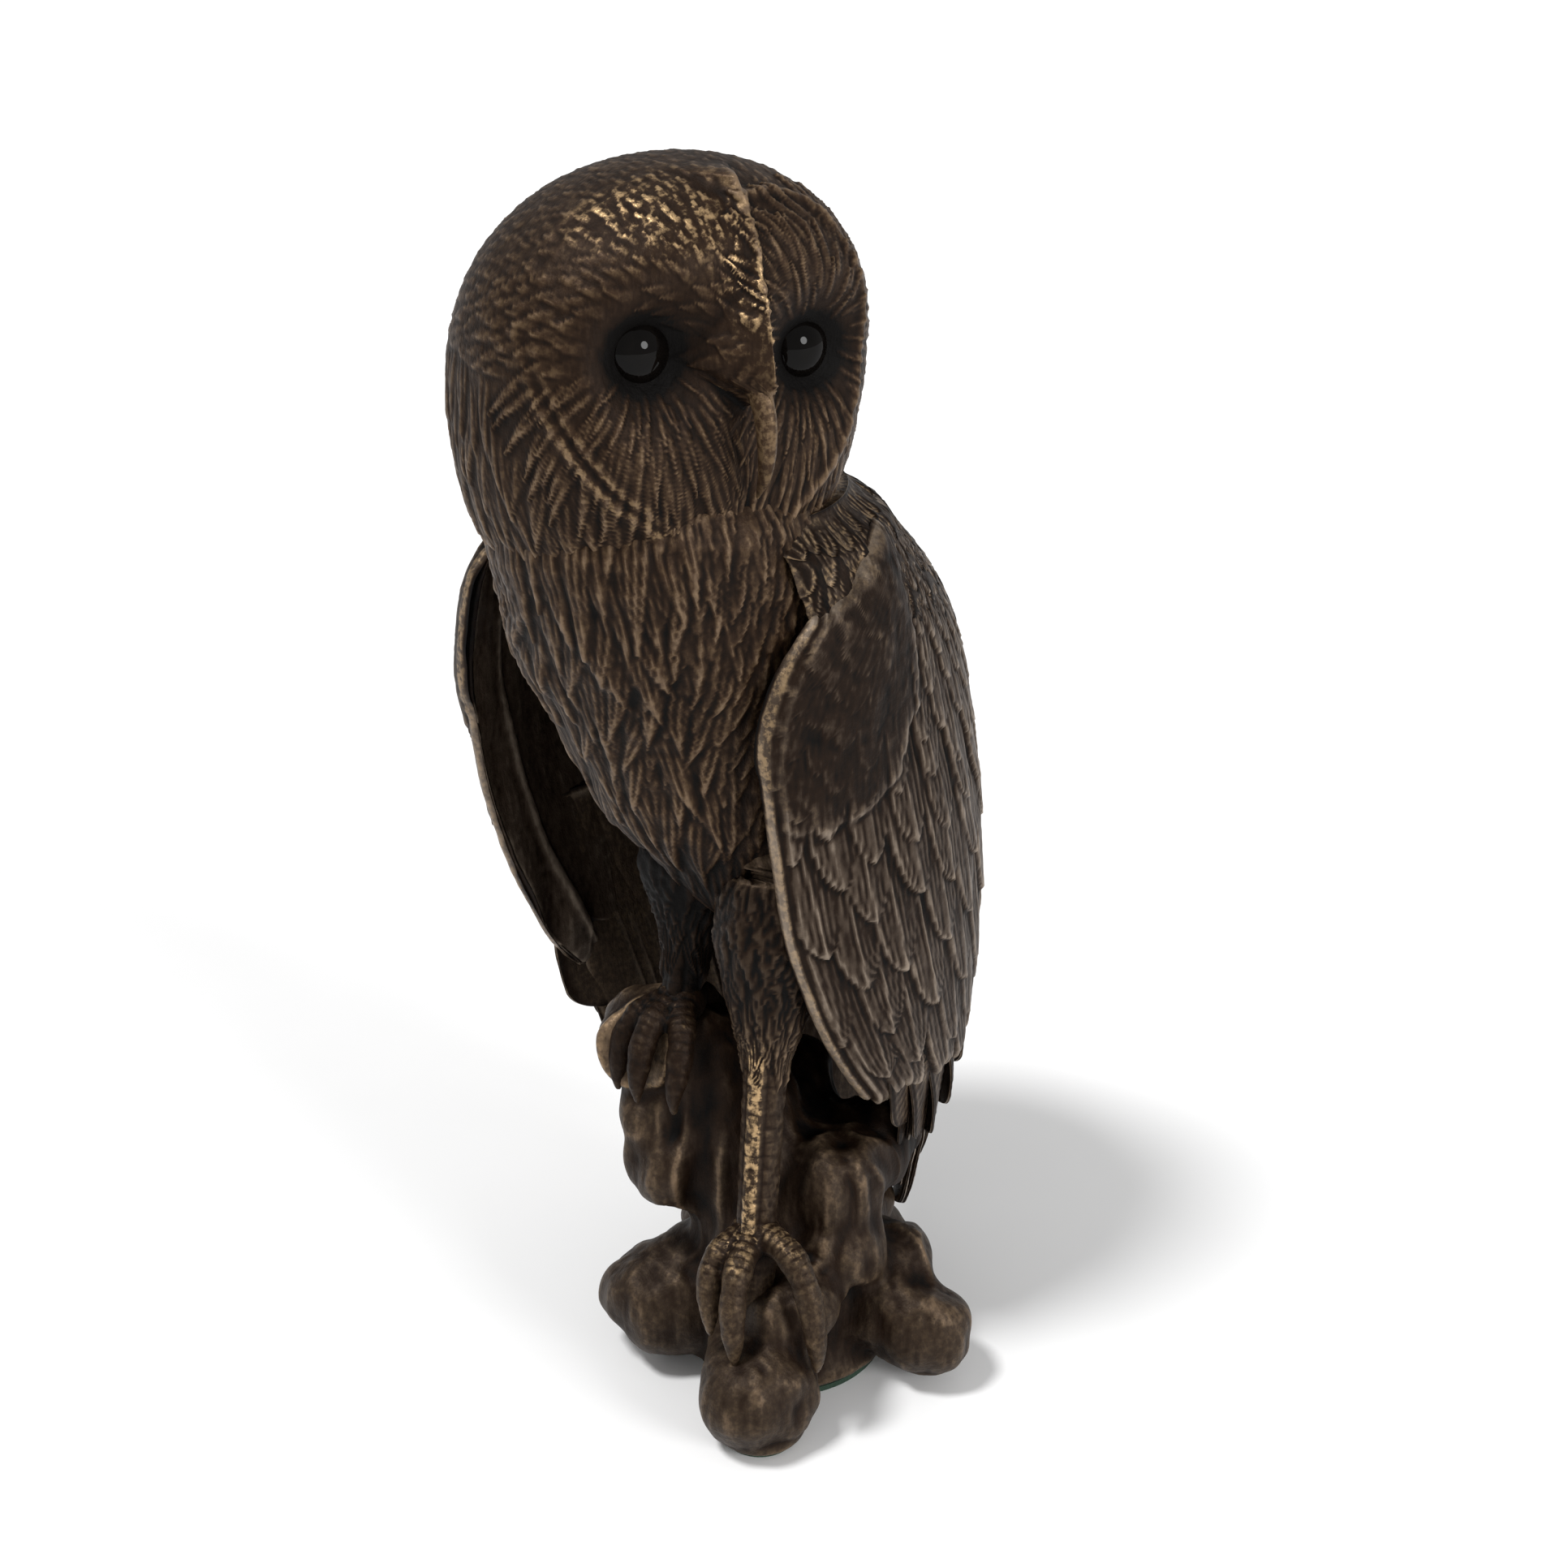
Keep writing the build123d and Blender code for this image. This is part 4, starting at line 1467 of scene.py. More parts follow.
@dataclass
class Head:
    """The turned head, with its facial disc, brow ridge, sockets, rims and hood."""

    middle: tuple[float, float, float] = (-16.2, -9.3, 172.5)
    forward: tuple[float, float, float] = (0.9397, -0.3420, 0.0)
    left: tuple[float, float, float] = (0.3420, 0.9397, 0.0)
    half_width: float = 30.5
    half_depth: float = 27.0
    crown: float = 27.5
    drop: float = 42.0
    floor: float = -25.5
    lean_left: float = 3.4
    lean_forward: float = 2.2
    socket_lateral: float = 13.2
    disc_plane: float = 21.9
    rings: int = 236
    spokes: int = 336
    seed: int = 71
    eyes: tuple[tuple[float, float, float], ...] = ((13.0, 13.5, 1.7), (-13.0, 13.5, 4.9))
    eye_radius: float = 5.3

    def world(self, local: Array) -> Array:
        """Places in the frame for places given as left, forward and up of the head's middle."""
        basis = np.array([self.left, self.forward, (0.0, 0.0, 1.0)])
        return np.asarray(local, float) @ basis + np.array(self.middle)

    def local(self, places: Array) -> Array:
        """Left, forward and up of the head's middle for places in the frame."""
        basis = np.array([self.left, self.forward, (0.0, 0.0, 1.0)])
        return (places - np.array(self.middle)) @ basis.T

    def _form(self) -> Array:
        """Rings of the bare head, in its own axes, with the sockets and the ridge.

        Returns:
            Points as rows of rings.
        """
        tilt = np.linspace(0.012, math.pi - 0.03, self.rings)[:, None]
        turn = (np.arange(self.spokes) * 2 * math.pi / self.spokes)[None, :]
        way = np.stack(
            [np.sin(tilt) * np.cos(turn), np.cos(tilt) + 0 * turn, np.sin(tilt) * np.sin(turn)], axis=-1
        )
        tall = np.where(way[..., 2] > 0, self.crown, self.drop)
        power = 2.12
        size = (np.abs(way[..., 0]) / self.half_width) ** power
        size = size + (np.abs(way[..., 1]) / self.half_depth) ** power
        size = (size + (np.abs(way[..., 2]) / tall) ** power) ** (-1 / power)
        form = way * size[..., None]
        level = (form[..., 2] + 22.5) / 50.0
        form[..., 0] += self.lean_left * (level - 0.5)
        form[..., 1] += self.lean_forward * (level - 0.5)
        form[..., 2] = np.maximum(form[..., 2], self.floor)
        form[..., 1] = self._face(form[..., 0], form[..., 1], form[..., 2])
        return form

    def _face(self, lateral: Array, forward: Array, up: Array) -> Array:
        """How far forward the face stands.

        Args:
            lateral: distance to the owl's left.
            forward: distance forward before the features.
            up: distance up.

        Returns:
            The distance forward with the sockets, cheeks and ridge.
        """
        front = ease(2.0, 9.0, forward)
        flat = 1.3
        result = forward - flat * np.logaddexp(0.0, (forward - self.disc_plane) / flat)
        for eye in self.eyes:
            across = lateral - math.copysign(self.socket_lateral, eye[0])
            reach = np.sqrt(across ** 2 + (1.05 * (up - eye[2])) ** 2)
            dish = 5.6 * bump(reach, 0.0, 7.4) + 0.6 * bump(reach, 0.0, 13.0)
            result = result - dish * front
        knots = (
            (27, 15.5, 3.2), (20, 20.6, 2.8), (15, 23.4, 2.2), (8, 27.4, 0.9), (3, 29.3, 0.2),
            (0.5, 29.4, 0.0), (-0.8, 28.6, -0.1), (-2.6, 23.5, -0.2), (-5, 16.0, -0.2), (-20.0, 12.0, 0.0),
            (-26.0, 10.0, 0.0),
        )
        middle = profile(up, knots, 2, 1.0)
        gap = lateral - middle
        edge = profile(up - 0.5 * np.minimum(np.abs(gap), 9.0) * ease(14.0, 6.0, up), knots, 1, 0.40)
        near_side = 0.2 + 1.34 * np.abs(gap)
        far_side = 0.2 + 2.3 * np.abs(gap)
        wedge = edge - np.where(gap < 0, near_side, far_side)
        soft = 0.55
        lift = soft * np.logaddexp(0.0, (wedge - result) / soft)
        return result + lift * front

    def build(self, shop: Workshop) -> list[bpy.types.Object]:
        """Makes the head, the beak, the eyes and their lids.

        Args:
            shop: the workshop that makes it.

        Returns:
            The new objects, the head first.
        """
        rng = np.random.default_rng(self.seed)
        form = self._form()
        shell = closed_tube(self.world(form)).outward()
        local = self.local(shell.points)
        relief = Relief(shell)
        self._lay_hood(relief, local, rng)
        self._lay_crown(relief, local, rng)
        self._lay_disc(relief, local, rng)
        wear = self._rims(relief)
        relief.add(0.10 * layered_noise(shell.points, 4.0, self.seed))
        relief.carve()
        gap, _ = self._eye_gap(local)
        # Painted shade: darker in the eye sockets and round them.
        painted_shading = 0.50 * ease(9.0, 5.4, gap) + 0.12 * ease(14, 8, gap)
        pieces = [shop.piece("head_plumage", shell, PLUMAGE, ["head"], wear, painted_shading)]
        pieces.append(self._beak(shop))
        for word, eye in zip(("left", "right"), self.eyes):
            pieces += self._eye(shop, word, np.array(eye))
        return pieces

    def _eye_gap(self, local: Array) -> tuple[Array, Array]:
        """Distance to the nearer eye, and the way away from it.

        Args:
            local: places in the head's own axes.

        Returns:
            The distances, and directions of length one.
        """
        gaps = np.stack([np.linalg.norm(local - np.array(eye), axis=-1) for eye in self.eyes])
        nearer = gaps.argmin(axis=0)
        centres = np.array(self.eyes)[nearer]
        return gaps.min(axis=0), unit(local - centres)

    def _lay_hood(self, relief: Relief, local: Array, rng: np.random.Generator) -> None:
        """Long locks that fall over the nape and the throat.

        Args:
            relief: the head's relief.
            local: its points in the head's own axes.
            rng: source of small differences.
        """
        gap, _ = self._eye_gap(local)
        seam = 6.0 + 7.0 * lattice_noise(local, (8.0, 8.0, 14.0), 71)
        where = (local[:, 2] < seam) & (gap > 20.0) & (local[:, 2] > self.floor + 1.0)
        cut = FeatherCut(13.0, 2.2, 0.75, Tip.POINTED, 0.0, 0.07, 1.60, 1.0, 0.4, 0.6, 0.0)
        relief.cover(
            where, 3.3, cut, rng,
            heading=lambda p: np.stack(
                [0.25 * lattice_noise(p, (9, 9, 14), 5), 0.25 * lattice_noise(p, (9, 9, 14), 6),
                 np.full(len(p), -1.0)], axis=1),
            order=lambda p: p[:, 2],
        )

    def _lay_crown(self, relief: Relief, local: Array, rng: np.random.Generator) -> None:
        """Small flecks over the crown, pointing back from the brow.

        Args:
            relief: the head's relief.
            local: its points in the head's own axes.
            rng: source of small differences.
        """
        gap, _ = self._eye_gap(local)
        where = (local[:, 2] > 3.0) & (gap > 9.0) & ((gap > 17.5) | (local[:, 0] < 3.0))
        cut = FeatherCut(4.2, 1.15, 0.26, Tip.POINTED, 0.0, 0.0, 1.5, 0.5, 0.35, 0.5, 0.1)
        back = -np.array(self.forward)
        sag = np.array([0, 0, -0.25])
        relief.cover(
            where, 1.9, cut, rng,
            heading=lambda p: unit(p - self.world([0.0, 18.0, 2.0])) * 0.6 + back * 0.8 + sag,
            order=lambda p: -((p - self.world([0.0, 24.0, 20.0])) ** 2).sum(axis=1),
            size=lambda p: 0.75 + 0.5 * ease(22, 4, self.local(p)[:, 2]),
        )

    def _comb(self, places: Array) -> Array:
        """Way the hair of the disc lies: away from the nearer eye, and straight down the middle.

        Args:
            places: places in the frame.

        Returns:
            The direction at each place.
        """
        local = self.local(places)
        away = self._eye_gap(local)[1]
        away[..., 0] *= ease(0.5, 8.0, np.abs(local[..., 0]))
        basis = np.array([self.left, self.forward, (0.0, 0.0, 1.0)])
        return away @ basis + np.array([0.0, 0.0, -0.25])

    def _lay_disc(self, relief: Relief, local: Array, rng: np.random.Generator) -> None:
        """Stiff hair that spreads from the eyes over the facial disc.

        Args:
            relief: the head's relief.
            local: its points in the head's own axes.
            rng: source of small differences.
        """
        gap, _ = self._eye_gap(local)
        ahead = local[:, 1] > 6.0
        low = local[:, 2] < np.where(local[:, 0] > 3.0, 20.0, 2.5)
        where = ahead & low & (gap > 6.2) & (gap < np.where(local[:, 0] < -12.0, 17.0, 20.0))
        cut = FeatherCut(8.6, 0.95, 0.52, Tip.POINTED, 0.08, 0.0, 1.50, 0.5, 0.3, 0.6, 0.15)
        relief.cover(
            where, 1.75, cut, rng,
            heading=self._comb,
            order=lambda p: -self._eye_gap(self.local(p))[0],
            size=lambda p: 0.62 + 0.5 * ease(7, 18, self._eye_gap(self.local(p))[0])
            + 0.3 * ease(2, -10, self.local(p)[:, 2]),
        )

    def _rims(self, relief: Relief) -> Array:
        """Raises the rims of the facial disc.

        Args:
            relief: the head's relief.

        Returns:
            Share of bare metal at each point.
        """
        near = curve_through([
            (3.6, 14.7, 22.9), (-3.9, 8.4, 26.0), (-13.7, 5.3, 23.6), (-22.4, 5.9, 17.4),
            (-27.0, 7.4, 10.2), (-27.8, 10.5, 3.7), (-24.3, 15.1, -6.2), (-18.5, 17.6, -14.0),
            (-11.2, 19.5, -20.9),
        ])
        inner = near + np.array([2.6, 2.2, -1.2])
        far = curve_through([
            (3.6, 14.7, 22.9), (13, 12.9, 21.2), (19.0, 15.2, 15.2), (22.0, 16.3, 7.5),
            (21.5, 17.8, -3.2), (16.0, 19.0, -13.0), (8.0, 20.0, -20.0),
        ])
        local = self.local(relief.shell.points)
        low = ease(5.0, -6.0, local[:, 2])
        between = near + np.array([1.2, 0.0, -0.6])
        relief.height *= 1.0 - 0.75 * low * bump(path_gap(local, between), 0.0, 2.4)
        before = relief.height.copy()
        wear = 0.10 * relief.ridge(self.world(near), 0.95, 0.48) * low
        wear += 0.06 * relief.ridge(self.world(inner), 0.8, 0.36) * low
        relief.ridge(self.world(near + np.array([1.3, 1.1, -0.6])), 0.6, -0.12)
        relief.height = before + (relief.height - before) * (0.20 + 0.80 * low)
        relief.ridge(self.world(far), 1.0, 0.7)
        brow = bump(local[:, 0], -9.0, 8.0) * bump(local[:, 2], 22.5, 3.6) * ease(4, 9, local[:, 1])
        ridge = bump(local[:, 0], 0.0, 2.6) * bump(local[:, 2], 14.0, 7.0) * ease(12, 20, local[:, 1])
        return np.clip(wear + 0.8 * brow + 0.7 * ridge + 0.04, 0, 1)

    def _beak(self, shop: Workshop) -> bpy.types.Object:
        """Makes the hooked beak.

        Args:
            shop: the workshop that makes it.

        Returns:
            The beak.
        """
        path = curve_through([
            (-0.3, 23.0, 2.0), (-0.3, 26.6, -1.5), (-0.2, 27.6, -6.5), (-0.1, 26.9, -11.5),
            (0.0, 24.8, -15.5),
        ], 12)
        share = np.linspace(0, 1, len(path))
        width = 1.45 * (1 - share ** 2.6) + 0.2
        turn = np.arange(28) * 2 * math.pi / 28
        heading = unit(np.gradient(path, axis=0))
        side = np.tile([1.0, 0.0, 0.0], (len(path), 1))
        rise = unit(np.cross(side, heading))
        keel = 1.0 + 0.22 * np.cos(turn) ** 4 * (np.cos(turn) > 0)
        rings = path[:, None, :] + width[:, None, None] * (
            0.86 * np.sin(turn)[None, :, None] * side[:, None, :]
            - 1.25 * (np.cos(turn) * keel)[None, :, None] * rise[:, None, :]
        )
        shell = closed_tube(self.world(rings)).outward()
        return shop.piece("beak", shell, PLUMAGE, (), np.full(len(shell.points), 0.10))

    def _eye(self, shop: Workshop, word: str, eye: Array) -> list[bpy.types.Object]:
        """Makes one eye and its lid.

        Args:
            shop: the workshop.
            word: the side's name.
            eye: the eye's middle, in the head's own axes.

        Returns:
            The eyeball and the lid.
        """
        globe = ball(self.world(eye), [self.eye_radius] * 3, 40).outward()
        eyeball = shop.piece("eyeball_" + word, globe, EYE, ["eye_" + word])
        outward = 1.0 if eye[0] > 0 else -1.0
        turn = np.linspace(0, 2 * math.pi, 65)[:-1]
        radius = self.eye_radius + 0.25
        lateral, forward = radius * np.cos(turn) * 0.97, 1.6 + 0.9 * np.cos(turn) * outward
        ring = np.stack([lateral, forward, radius * np.sin(turn) * 0.93], axis=1)
        thick = 0.34 + 0.20 * np.maximum(np.sin(turn), 0)
        small = np.arange(14) * 2 * math.pi / 14
        out = unit(ring - np.array([0.0, 1.6, 0.0]))
        ahead = np.array([0.0, 1.0, 0.0])
        tube = ring[:, None, :] + thick[:, None, None] * (
            np.cos(small)[None, :, None] * out[:, None, :] + 1.3 * np.sin(small)[None, :, None] * ahead
        )
        rows, columns, _ = tube.shape
        number = np.arange(rows * columns).reshape(rows, columns)
        after = np.roll(number, -1, axis=0)
        quads = np.stack([number, np.roll(number, -1, 1), np.roll(after, -1, 1), after], axis=-1)
        quads = quads.reshape(-1, 4)
        lid = Shell(self.world(tube.reshape(-1, 3) + eye), quads).outward()
        # Painted shade: the lids are darkened evenly so that their lit edges do not show as pale rings.
        painted_shading = np.full(len(lid.points), 0.5)
        return [eyeball, shop.piece("eyelid_" + word, lid, PLUMAGE, painted_shading=painted_shading)]


@dataclass
class Leg:
    """A feathered thigh over a scaled shank."""

    side: Side
    hip: tuple[float, float, float]
    ankle: tuple[float, float, float]
    thigh_length: float
    thigh: float = 9.0
    knee: float = 5.2
    shank: float = 3.1
    rows: int = 190
    columns: int = 104
    seed: int = 81

    def build(self, shop: Workshop) -> bpy.types.Object:
        """Makes the leg.

        Args:
            shop: the workshop that makes it.

        Returns:
            The leg.
        """
        rng = np.random.default_rng(self.seed)
        hip, ankle = np.array(self.hip, float), np.array(self.ankle, float)
        length = float(np.linalg.norm(ankle - hip))
        share = np.linspace(0, 1, self.rows)
        share = np.concatenate([np.linspace(-12.0 / length, 0, 24, endpoint=False), share])
        path = hip + (ankle - hip) * share[:, None]
        path = path + np.array([-0.35, 0.5, 0.0]) * np.maximum(-share * length, 0.0)[:, None]
        along = share * length
        radii = np.interp(
            along,
            [-12, -6, 3, self.thigh_length * 0.45, self.thigh_length, self.thigh_length + 5, length],
            [2.0, self.thigh * 0.7, self.thigh * 0.95, self.thigh, self.knee, self.shank + 0.4, self.shank],
        )
        radii = np.convolve(np.pad(radii, 6, mode="edge"), np.ones(13) / 13, mode="valid")
        shell = swept_tube(path, radii, self.columns).outward()
        relief = Relief(shell)
        heading = unit(ankle - hip)
        reach = (shell.points - hip) @ heading
        axis = hip + reach[:, None] * heading
        out = unit(shell.points - axis)
        self._scutes(relief, reach, out)
        lock = FeatherCut(9.5, 1.9, 0.85, Tip.POINTED, 0.0, 0.12, 0.8, 0.8, 0.3, 0.5, 0.1)
        relief.cover(
            reach < self.thigh_length + 1.0, 2.2, lock, rng,
            heading=lambda p: np.tile(heading, (len(p), 1)) + np.array([0.0, 0.0, -0.2]),
            order=lambda p: -((p - hip) @ heading),
        )
        relief.add(0.06 * layered_noise(shell.points, 1.5, self.seed))
        relief.carve()
        front = ease(0.55, 0.95, out @ unit(np.array([0.25, -1.0, 0.0])))
        bare = ease(self.thigh_length, self.thigh_length + 6, reach)
        wear = np.clip(0.03 + 0.46 * ease(0.985, 1.0, front) * bare, 0, 1)
        node = "leg_" + self.side.word
        # Painted shade: the right leg, which stands in shadow, is darkened all over, and both legs are
        # darkened from the hip down to the knee; no wear shows where the painted shade is strong.
        painted_shading = np.full(len(shell.points), 0.30 if self.side is Side.RIGHT else 0.0)
        painted_shading += 0.22 * ease(self.thigh_length + 4, self.thigh_length - 6, reach)
        return shop.piece(node + "_plumage", shell, FEET, [node], wear * (painted_shading < 0.2), painted_shading)

    def _scutes(self, relief: Relief, reach: Array, out: Array) -> None:
        """Cuts the shank's plates and raises its front edge.

        Args:
            relief: the leg's relief.
            reach: distance of each point down from the hip.
            out: direction of each point away from the leg's middle.
        """
        low = ease(self.thigh_length - 1, self.thigh_length + 4, reach)
        face = out @ unit(np.array([0.25, -1.0, 0.0]))
        plates = np.abs(np.sin(reach * math.pi / 2.3 + 0.5 * face)) ** 0.5
        relief.add(low * (0.11 * plates * ease(0.2, 0.7, face) + 0.95 * ease(0.84, 1.0, face)))
        relief.add(low * 0.14 * lattice_noise(relief.shell.points, (1.1, 1.1, 1.1), self.seed + 7))


@dataclass
class Foot:
    """Four toes with talons, spread over the stump."""

    side: Side
    ankle: tuple[float, float, float]
    toes: Sequence[tuple[tuple[float, float, float], tuple[float, float, float]]]
    heel: tuple[float, float, float]
    ankle_radius: float = 4.2
    toe_radius: float = 2.3
    talon: float = 6.0
    seed: int = 91

    def build(self, shop: Workshop) -> bpy.types.Object:
        """Makes the foot.

        Args:
            shop: the workshop that makes it.

        Returns:
            The foot.
        """
        start = np.array(self.ankle, float)
        shell = ball(start, (self.ankle_radius, self.ankle_radius, self.ankle_radius * 0.9))
        heel = arc_points(start, start + np.array(self.heel) * 0.5, start + np.array(self.heel), 24)
        shell = shell.joined(swept_tube(heel, np.linspace(3.9, 3.0, 24)))
        tubes = []
        for middle, tip in self.toes:
            end = start + np.array(tip)
            path = arc_points(start, start + np.array(middle), end, 60)
            share = np.linspace(0, 1, 60)
            pads = 0.24 * np.abs(np.sin(share * math.pi * 3.0 + 0.4))
            tubes.append(path)
            shell = shell.joined(swept_tube(path, self.toe_radius * (1.06 - 0.26 * share) + pads))
            way = unit(path[-1] - path[-4])
            down = unit(way * 0.55 + np.array([0.0, 0.0, -0.85]))
            claw = arc_points(end - way * 0.8, end + way * self.talon * 0.45, end + down * self.talon, 24)
            grow = np.linspace(0, 1, 24)
            shell = shell.joined(swept_tube(claw, 1.75 * (1 - grow) ** 0.75 + 0.28, 16))
        shell = remeshed(shell, 0.36)
        shell.points = shell.averaged(shell.points, 4)
        shell = shell.outward()
        relief = Relief(shell)
        wear = np.full(len(shell.points), 0.04)
        for path in tubes:
            gap = shell.points[:, None, :] - path[None, ::3, :]
            gap = (gap ** 2).sum(axis=2)
            nearest = gap.argmin(axis=1)
            on_toe = np.sqrt(gap.min(axis=1)) < self.toe_radius + 0.9
            top = ease(0.1, 0.8, relief.normals[:, 2])
            toe_length = float(np.linalg.norm(np.diff(path, axis=0), axis=1).sum())
            travel = np.linspace(0, toe_length, 60)[::3]
            rings = np.abs(np.sin(self._travel(shell.points, path, travel, nearest) * math.pi / 1.35)) ** 0.6
            relief.add(np.where(on_toe, 0.13 * top * rings, 0.0))
            wear += np.where(on_toe, 0.20 * ease(0.80, 1.0, top), 0.0)
        relief.add(0.07 * layered_noise(shell.points, 1.2, self.seed))
        relief.carve()
        node = "foot_" + self.side.word
        # Painted shade: the right foot, which stands in shadow, is darkened strongly and the left foot
        # slightly.
        painted_shading = np.full(len(shell.points), 0.22 if self.side is Side.RIGHT else 0.04)
        return shop.piece(node + "_cast", shell, FEET, [node], wear, painted_shading)

    @staticmethod
    def _travel(points: Array, path: Array, travel: Array, nearest: Array) -> Array:
        """Distance along a toe for each point, from its nearest place on the path.

        Args:
            points: the foot's points.
            path: places along the toe's middle.
            travel: distance of every third place from the toe's start.
            nearest: number of each point's nearest place.

        Returns:
            The distances.
        """
        spots = path[::3]
        heading = unit(np.gradient(spots, axis=0))
        offset = ((points - spots[nearest]) * heading[nearest]).sum(axis=1)
        return travel[nearest] + offset


@dataclass
class Stump:
    """The knotted root that the owl stands on."""

    column: Knots = (
        (1, 0, 0, 17, 18), (19, -1, -1, 14, 15), (34, -3.5, -2.5, 12.5, 13), (49, -9, -4, 11, 12),
        (61, -13, -5, 8, 9),
    )
    lumps: Knots = (
        (11, -23.5, 8.5, 10.5), (-15, -15, 11.5, 10.8), (24.5, 5, 9.6, 8.8), (16.5, 9, 18.5, 7),
        (-20, 12, 9, 10.2), (2, 19, 8.2, 9.4), (-13.5, -13.5, 37.5, 9), (-17.5, -12.5, 47, 7),
        (11, -15, 20, 8.6), (10, 0, 36, 9.2), (11.5, -2, 25, 8.4), (-20.5, -11.5, 57.5, 8.6),
        (-13.5, -7.5, 57, 8.2), (3.0, -13.5, 23, 7.6),
        (1.0, 15.0, 21, 9.0), (-3.0, 12.0, 35, 8.5), (8.0, 14.0, 36, 8.0), (-8.0, 12.0, 43, 8.0),
    )
    hood: tuple[float, float, float] = (-20.5, -11.5, 57.5)
    floor: float = 1.0
    voxel: float = 0.52
    seed: int = 101

    def _solids(self) -> Shell:
        """The column, the knobs and the roots that join them, still as separate solids.

        Returns:
            All of them in one shell.
        """
        height = np.linspace(1, 61, 60)[:, None]
        turn = (np.arange(60) * 2 * math.pi / 60)[None, :]
        x, y, wide, deep = (profile(height, self.column, k, 2.0) for k in range(1, 5))
        rings = np.stack([x + wide * np.cos(turn), y + deep * np.sin(turn), height + 0 * turn], axis=-1)
        shell = closed_tube(rings).outward()
        for lump in self.lumps:
            middle, radius = np.array(lump[:3], float), float(lump[3])
            shell = shell.joined(ball(middle, (radius, radius, radius * 0.97), 30).outward())
            core = [float(profile(middle[2:3], self.column, k, 2.0)[0]) for k in (1, 2)]
            foot = np.array(core + [middle[2]])
            rise = np.array([0.0, 0.0, 7.0 if middle[2] < 15 else 0.0])
            path = arc_points(foot + rise, (foot + middle) / 2 + rise * 0.6, middle, 24)
            shell = shell.joined(swept_tube(path, np.full(24, radius * 0.92), 28).outward())
        return shell

    def build(self, shop: Workshop) -> bpy.types.Object:
        """Makes the stump.

        Args:
            shop: the workshop that makes it.

        Returns:
            The stump.
        """
        shell = remeshed(self._solids(), self.voxel)
        shell.points = shell.averaged(shell.points, 55)
        shell.points[:, 2] = np.maximum(shell.points[:, 2], self.floor)
        shell = shell.outward()
        relief = Relief(shell)
        places = shell.points
        off_floor = ease(self.floor + 0.2, self.floor + 2.2, places[:, 2])
        sway = places + np.stack([1.4 * lattice_noise(places, (9, 9, 14), k) for k in (7, 8, 9)], axis=1)
        upright = ease(14, 26, places[:, 2])
        grooves = lattice_noise(sway, (1.9, 1.9, 9.0), self.seed)
        fine = lattice_noise(sway, (1.0, 1.0, 4.2), self.seed + 2)
        sinews = lattice_noise(sway, (5.5, 5.5, 20.0), self.seed + 3)
        sinews = np.sqrt(sinews ** 2 + 0.02)
        folds = lattice_noise(sway, (2.8, 2.8, 9.0), self.seed + 6)
        height = upright * (0.16 * grooves - 1.5 * sinews + 0.42 * folds)
        height += (1 - upright) * (0.10 * grooves - 0.45 * sinews + 0.22 * folds)
        swell = lattice_noise(places, (9, 9, 9), self.seed + 4) + 0.35 * lattice_noise(places, (4, 4, 5), 5)
        relief.add(off_floor * (height + 0.09 * fine + 1.5 * swell))
        wear = self._hood(relief) + 0.02
        # Painted shade: the stump is darkened high up at the back and over its top except on the side of the
        # curled root, where shade falls under the owl.
        painted_shading = 0.28 * ease(2.0, 12.0, places[:, 1]) * ease(22, 30, places[:, 2])
        painted_shading = np.maximum(painted_shading, 0.22 * ease(42, 50, places[:, 2]) * ease(-14.0, -9.0, places[:, 0]))
        relief.carve()
        shell.points[:, 2] = np.maximum(shell.points[:, 2], self.floor)
        return shop.piece("stump_root", shell, ROOT, ["stump"], wear, painted_shading)

    def _hood(self, relief: Relief) -> Array:
        """Sinks the hollow of the curled root under the right foot and raises its rim.

        Args:
            relief: the stump's relief.

        Returns:
            Share of bare metal at each point.
        """
        way = unit(np.array([0.35, -0.88, 0.32]))
        mouth = np.array(self.hood) + way * 7.2
        gap = np.linalg.norm((relief.shell.points - mouth) * np.array([1.1, 1.0, 0.85]), axis=1)
        facing = ease(0.0, 0.4, relief.normals @ way)
        relief.add(facing * (-4.2 * ease(5.0, 2.0, gap) + 1.3 * bump(gap, 6.0, 1.3)))
        return 0.2 * facing * bump(gap, 6.4, 0.7)


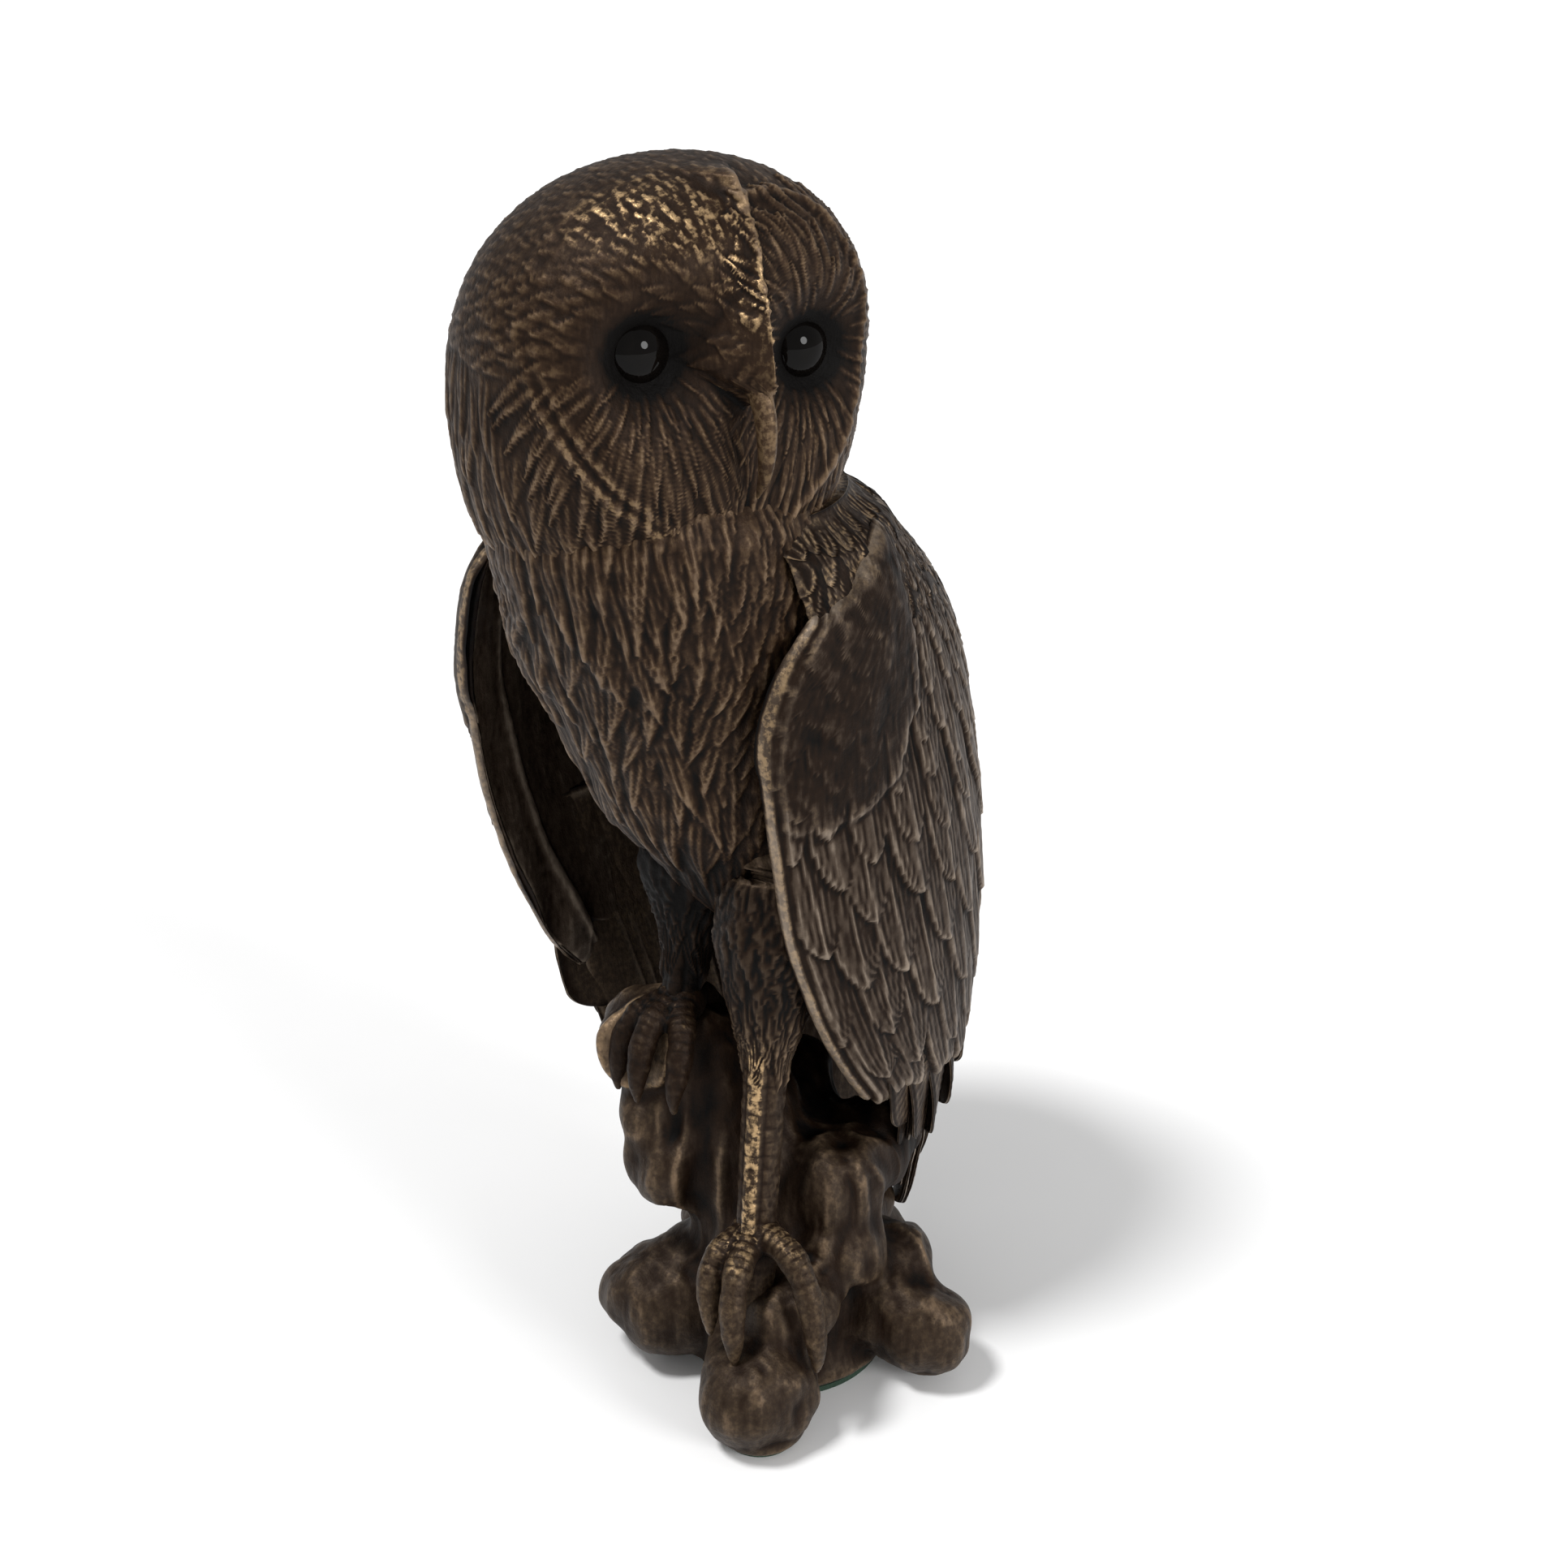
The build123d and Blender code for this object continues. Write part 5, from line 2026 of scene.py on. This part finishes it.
# ------------------------------------------------------------------ studio
@dataclass
class Studio:
    """Pale floor, soft light and the camera."""

    target: tuple[float, float, float] = (-6.7, 7.5, 100.0)
    azimuth: float = 36.0
    elevation: float = 25.0
    distance: float = 390.0
    lens: float = 56.46
    floor_size: float = 6.0
    film_width: float = 36.0
    sky: float = 0.50

    def _aim(self, thing: bpy.types.Object, place: Vector, target: Vector) -> None:
        """Stands a light or the camera at a place, looking at a target."""
        thing.location = place
        thing.rotation_euler = (target - place).to_track_quat("-Z", "Y").to_euler()

    def _sun(self, name: str, way: Vector, strength: float, spread: float) -> None:
        """Adds a distant soft light.

        Args:
            name: its name.
            way: direction towards it.
            strength: its power.
            spread: its width, as an angle.
        """
        data = bpy.data.lights.new(name, "SUN")
        data.energy = strength
        data.angle = spread
        light = bpy.data.objects.new(name, data)
        bpy.context.scene.collection.objects.link(light)
        self._aim(light, way, Vector((0.0, 0.0, 0.0)))

    def build(self) -> None:
        """Sets the floor, the lights, the world and the camera."""
        scene = bpy.context.scene
        scene.view_settings.view_transform = "Standard"
        mesh = bpy.data.meshes.new("floor")
        half = self.floor_size / 2
        corners = [(-half, -half, 0), (half, -half, 0), (half, half, 0), (-half, half, 0)]
        mesh.from_pydata(corners, [], [(0, 1, 2, 3)])
        floor = bpy.data.objects.new("floor", mesh)
        scene.collection.objects.link(floor)
        paper = PlainFinish("paper", "floor", (0.90, 0.90, 0.90), (0.93, 0.93, 0.93), 0.0, 0.8, 30.0, 0.0001)
        mesh.materials.append(paper.build())
        self._sun("key", Vector((-0.20, -0.42, 1.0)), 2.1, 0.20)
        self._sun("fill", Vector((1.0, -0.10, 0.38)), 1.65, 0.36)
        world = bpy.data.worlds.new("studio")
        world.use_nodes = True
        background = world.node_tree.nodes["Background"]
        background.inputs["Color"].default_value = (1.0, 1.0, 1.0, 1.0)
        background.inputs["Strength"].default_value = self.sky
        scene.world = world
        camera = bpy.data.objects.new("camera", bpy.data.cameras.new("camera"))
        camera.data.lens = self.lens
        camera.data.sensor_width = self.film_width
        turn, rise = math.radians(self.azimuth), math.radians(self.elevation)
        back = Vector((math.sin(turn) * math.cos(rise), -math.cos(turn) * math.cos(rise), math.sin(rise)))
        target = Vector(self.target) * MM
        scene.collection.objects.link(camera)
        self._aim(camera, target + back * self.distance * MM, target)
        scene.camera = camera


LEFT_EDGE: Knots = (
    (146.5, 2), (138, -12), (124, -18), (105, -17), (86, -15), (67, -9), (54, -1), (43, 8),
)
RIGHT_EDGE: Knots = (
    (146.5, 4), (134, -12), (122, -16), (102, -14), (80, -9), (57, 2), (44, 18),
)


def main() -> None:
    """Builds the owl piece by piece, then the studio."""
    logging.basicConfig(level=logging.INFO, format="%(name)s %(message)s")
    shop = Workshop()
    Stump().build(shop)
    Foot(Side.LEFT, (5.5, -17, 33), (
        ((-2.5, -6.5, -1.5), (-1.5, -10.5, -7.5)), ((2.5, -8.5, -2.5), (4, -11.5, -11)),
        ((9.5, -2, -1), (14, -3, -13)), ((-3.5, 5.5, -2), (-5.5, 8.5, -8)),
    ), (1.0, -2.2, -12.0)).build(shop)
    Foot(Side.RIGHT, (-14.5, -10, 66), (
        ((4.5, -5.5, -2), (6, -9, -8.5)), ((-0.5, -7, -1.5), (-0.5, -10.5, -8)),
        ((-4.5, -5.5, -2), (-6, -8.5, -8.5)), ((0, 6, -2), (0.5, 9, -8)),
    ), (0.5, -2.5, -9.0), seed=95).build(shop)
    Leg(Side.LEFT, (1, -5, 92), (5.5, -17, 33), 25.0).build(shop)
    Leg(Side.RIGHT, (-17, -1, 93), (-14.5, -10, 66), 15.0, seed=85).build(shop)
    Torso().build(shop)
    QuillFan("tail_feathers", "tail", tail_quills(), tilt=0.0, seed=41).build(shop)
    QuillFan("primaries_left", "flight_feathers_left", flight_quills(), Side.LEFT).build(shop)
    QuillFan("greater_left", "", greater_quills(), Side.LEFT, seed=37).build(shop)
    QuillFan("greater_right", "", greater_quills(), Side.RIGHT, seed=39).build(shop)
    QuillFan("primaries_right", "flight_feathers_right", flight_quills(), Side.RIGHT, seed=35).build(shop)
    Wing(Side.LEFT, LEFT_EDGE).build(shop)
    Wing(Side.RIGHT, RIGHT_EDGE, seed=21).build(shop)
    Mantle().build(shop)
    Head().build(shop)
    for node in ("neck_pin", "wing_pin_left", "wing_pin_right", "leg_stud_left", "leg_stud_right"):
        shop.dress(node, STEEL)
    shop.dress("felt_pads", FELT)
    Studio().build()


if __name__ == "__main__":
    main()
